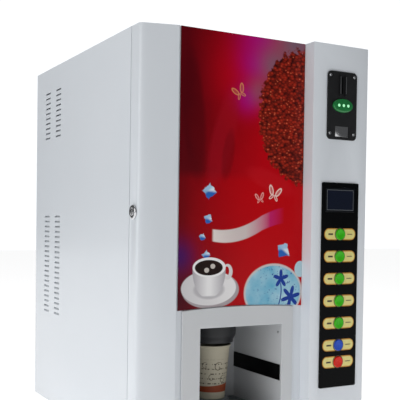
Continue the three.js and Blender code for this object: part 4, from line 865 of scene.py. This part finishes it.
# ---- Keypad: a black gloss plate with a sunk display at its head and, behind each button, a
# printed gold capsule with plain bars as its label.
softened("keypad_plate", gloss, "black_gloss", "door", 0.0006, flat=True)
glass = Finish("display_glass", (15, 22, 35), 0.12, Coat_Weight=0.3, Coat_Roughness=0.05,
               Specular_IOR_Level=0.3)
low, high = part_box("display_module")
middle = (low + high) / 2
glass_x, _, glass_z = glass.axes()
a, b = (glass_x - middle.x).of("ABSOLUTE"), (glass_z - middle.z).of("ABSOLUTE")
outside = (a - 0.0296).larger(b - 0.0176)
frame_mask = (outside * 9000).ranged() * ((0.0012 - outside) * 9000).ranged()
rows_mask = ((glass_z * 3100).of("SINE") * 0.5 + 0.5)
screen = glass.mix(rows_mask * 0.3, tint(12, 18, 34), tint(24, 34, 58))
screen = glass.mix((outside * 9000).ranged(), screen, tint(10, 14, 20))
glass.put("Base Color", glass.mix(frame_mask, screen, tint(92, 96, 100)))
glass.put("Roughness", frame_mask * 0.25 + 0.07)
softened("display_module", glass, "display_glass", "door", 0.0004, 2, flat=True)


CAP_HOLE = 0.0086


def capsule_tree(finish):
    """A stadium-shaped label at every point, filled and raised, with a hole that its button passes."""
    tree = bpy.data.node_groups.new("label_capsules", "GeometryNodeTree")
    tree.interface.new_socket("Points", in_out="INPUT", socket_type="NodeSocketGeometry")
    for name, value in (("Width", 0.0695), ("Height", 0.02), ("Thickness", 0.0003)):
        tree.interface.new_socket(name, in_out="INPUT", socket_type="NodeSocketFloat").default_value = value
    tree.interface.new_socket("Capsules", in_out="OUTPUT", socket_type="NodeSocketGeometry")
    link = tree.links.new
    source, end = tree.nodes.new("NodeGroupInput"), tree.nodes.new("NodeGroupOutput")
    outline = tree.nodes.new("GeometryNodeCurvePrimitiveQuadrilateral")
    link(source.outputs["Width"], outline.inputs["Width"])
    link(source.outputs["Height"], outline.inputs["Height"])
    corner = tree.nodes.new("ShaderNodeMath")
    corner.operation = "MULTIPLY"
    corner.inputs[1].default_value = 0.47
    link(source.outputs["Height"], corner.inputs[0])
    rounded = tree.nodes.new("GeometryNodeFilletCurve")
    rounded.mode = "POLY"
    rounded.inputs[1].default_value = 12
    link(outline.outputs["Curve"], rounded.inputs["Curve"])
    link(corner.outputs[0], rounded.inputs["Radius"])
    hole = tree.nodes.new("GeometryNodeCurvePrimitiveCircle")
    hole.inputs["Radius"].default_value = CAP_HOLE
    both = tree.nodes.new("GeometryNodeJoinGeometry")
    link(hole.outputs["Curve"], both.inputs["Geometry"])
    link(rounded.outputs["Curve"], both.inputs["Geometry"])
    filled = tree.nodes.new("GeometryNodeFillCurve")
    link(both.outputs["Geometry"], filled.inputs["Curve"])
    raised = tree.nodes.new("GeometryNodeExtrudeMesh")
    raised.inputs["Individual"].default_value = False
    link(filled.outputs["Mesh"], raised.inputs["Mesh"])
    link(source.outputs["Thickness"], raised.inputs["Offset Scale"])
    spread = tree.nodes.new("GeometryNodeInstanceOnPoints")
    turn = tree.nodes.new("FunctionNodeEulerToRotation")
    turn.inputs[0].default_value = (math.pi / 2, 0, 0)
    link(source.outputs["Points"], spread.inputs["Points"])
    link(raised.outputs["Mesh"], spread.inputs["Instance"])
    link(turn.outputs[0], spread.inputs["Rotation"])
    solid = tree.nodes.new("GeometryNodeRealizeInstances")
    coat = tree.nodes.new("GeometryNodeSetMaterial")
    coat.inputs["Material"].default_value = finish.material
    link(spread.outputs["Instances"], solid.inputs["Geometry"])
    link(solid.outputs["Geometry"], coat.inputs["Geometry"])
    link(coat.outputs["Geometry"], end.inputs[0])
    return tree


gold = Finish("gold_label_print", (206, 186, 84), 0.38, 0.1, Coat_Weight=0.3, Coat_Roughness=0.1)
gold.put("Base Color", gold.mix(gold.noise(160, 3.0), tint(226, 212, 116), tint(240, 230, 152)))
gold.rough(0.28, 0.42, 300)
button_boxes = [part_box(f"button_{i}") for i in range(1, 8)]
plate_low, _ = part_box("keypad_plate")
spots = [((low.x + high.x) / 2, plate_low.y - 0.00002, (low.z + high.z) / 2) for low, high in button_boxes]
placed(grown("button_capsules", capsule_tree(gold), spots, Width=0.0685, Height=0.0178, Thickness=0.0004),
       "door", "paper")
bronze = Finish("amber_label_rim", (208, 146, 40), 0.4, 0.1)
bronze.put("Base Color", bronze.mix(bronze.noise(200), tint(200, 134, 30), tint(216, 158, 50)))
placed(grown("capsule_rims", capsule_tree(bronze), spots, Width=0.0715, Height=0.0212, Thickness=0.0002),
       "door", "paper")
ink = Finish("dark_label_ink", (50, 40, 24), 0.5)
ink.put("Base Color", ink.mix(ink.noise(900, 2.0), tint(40, 30, 18), tint(74, 60, 36)))
for name, offset, bar in (("thick", -0.0215, (0.0105, 0.0002, 0.0030)),
                          ("thin", 0.0225, (0.0115, 0.0002, 0.0014))):
    bars = grown(f"label_bars_{name}", louvre_tree(ink), [(x + offset, y - 0.00045, z) for x, y, z in spots],
                 **{"Lip Size": bar, "Slant": (0.0, 0.0, 0.0)})
    placed(bars, "door", "paper")


# ---- Buttons: seven dish-topped round buttons in a dark bezel ring, five green, one blue and
# one red.
dark_ring = Finish("button_ring", (26, 34, 28), 0.35)
dark_ring.rough(0.28, 0.42, 400)
dark_ring.put("Base Color", dark_ring.mix(dark_ring.noise(300), tint(22, 30, 24), tint(34, 42, 36)))
hues = {"green": ((40, 172, 10), (76, 206, 26)), "blue": ((22, 62, 176), (44, 96, 214)),
        "red": ((208, 20, 8), (236, 44, 22))}
caps = {}
for hue, (deep_tone, bright_tone) in hues.items():
    cap = caps[hue] = Finish(f"{hue}_button_cap", bright_tone, 0.35, Coat_Weight=0.1, Coat_Roughness=0.08,
                             Specular_IOR_Level=0.2)
    cap.put("Base Color", cap.mix(cap.noise(90, 3.0), tint(*deep_tone), tint(*bright_tone)))
    cap.rough(0.2, 0.34, 500)
for i, (low, high) in enumerate(button_boxes, 1):
    hue = "green" if i < 6 else "blue" if i == 6 else "red"
    middle, reach = (low + high) / 2, (high.x - low.x) / 2
    deep = high.y - low.y
    profile = [(0, deep), (reach, deep), (reach, 0.0010), (reach - 0.0003, 0.0004), (reach - 0.0010, 0.0)]
    profile += [((reach - 0.0016) * share, 0.0007 * (1 - share ** 2)) for share in (1.0, 0.8, 0.6, 0.4, 0.2)]
    profile += [(0, 0.0007)]
    placed(turned(f"{hue}_cap_{i}", profile, (middle.x, low.y, middle.z), "y", caps[hue], 48),
           f"button_{i}", f"button_{hue}", f"button_{i}")
    ring = [(reach + 0.0005, 0), (reach + 0.0016, 0), (reach + 0.0019, -0.0003), (reach + 0.0016, -0.0009),
            (reach + 0.0009, -0.0009), (reach + 0.0005, -0.0005), (reach + 0.0005, 0)]
    placed(turned(f"button_ring_{i}", ring, (middle.x, plate_low.y, middle.z), "y", dark_ring, 48),
           "door", "black_plastic")


# ---- Lock: a chromed cam lock in the door's left side; its plug turns the hook inside.
low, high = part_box("lock_barrel")
softened("lock_barrel", chrome, "chrome", "door", 0.0006)
softened("lock_plug", chrome, "chrome", "lock_plug", 0.0003)
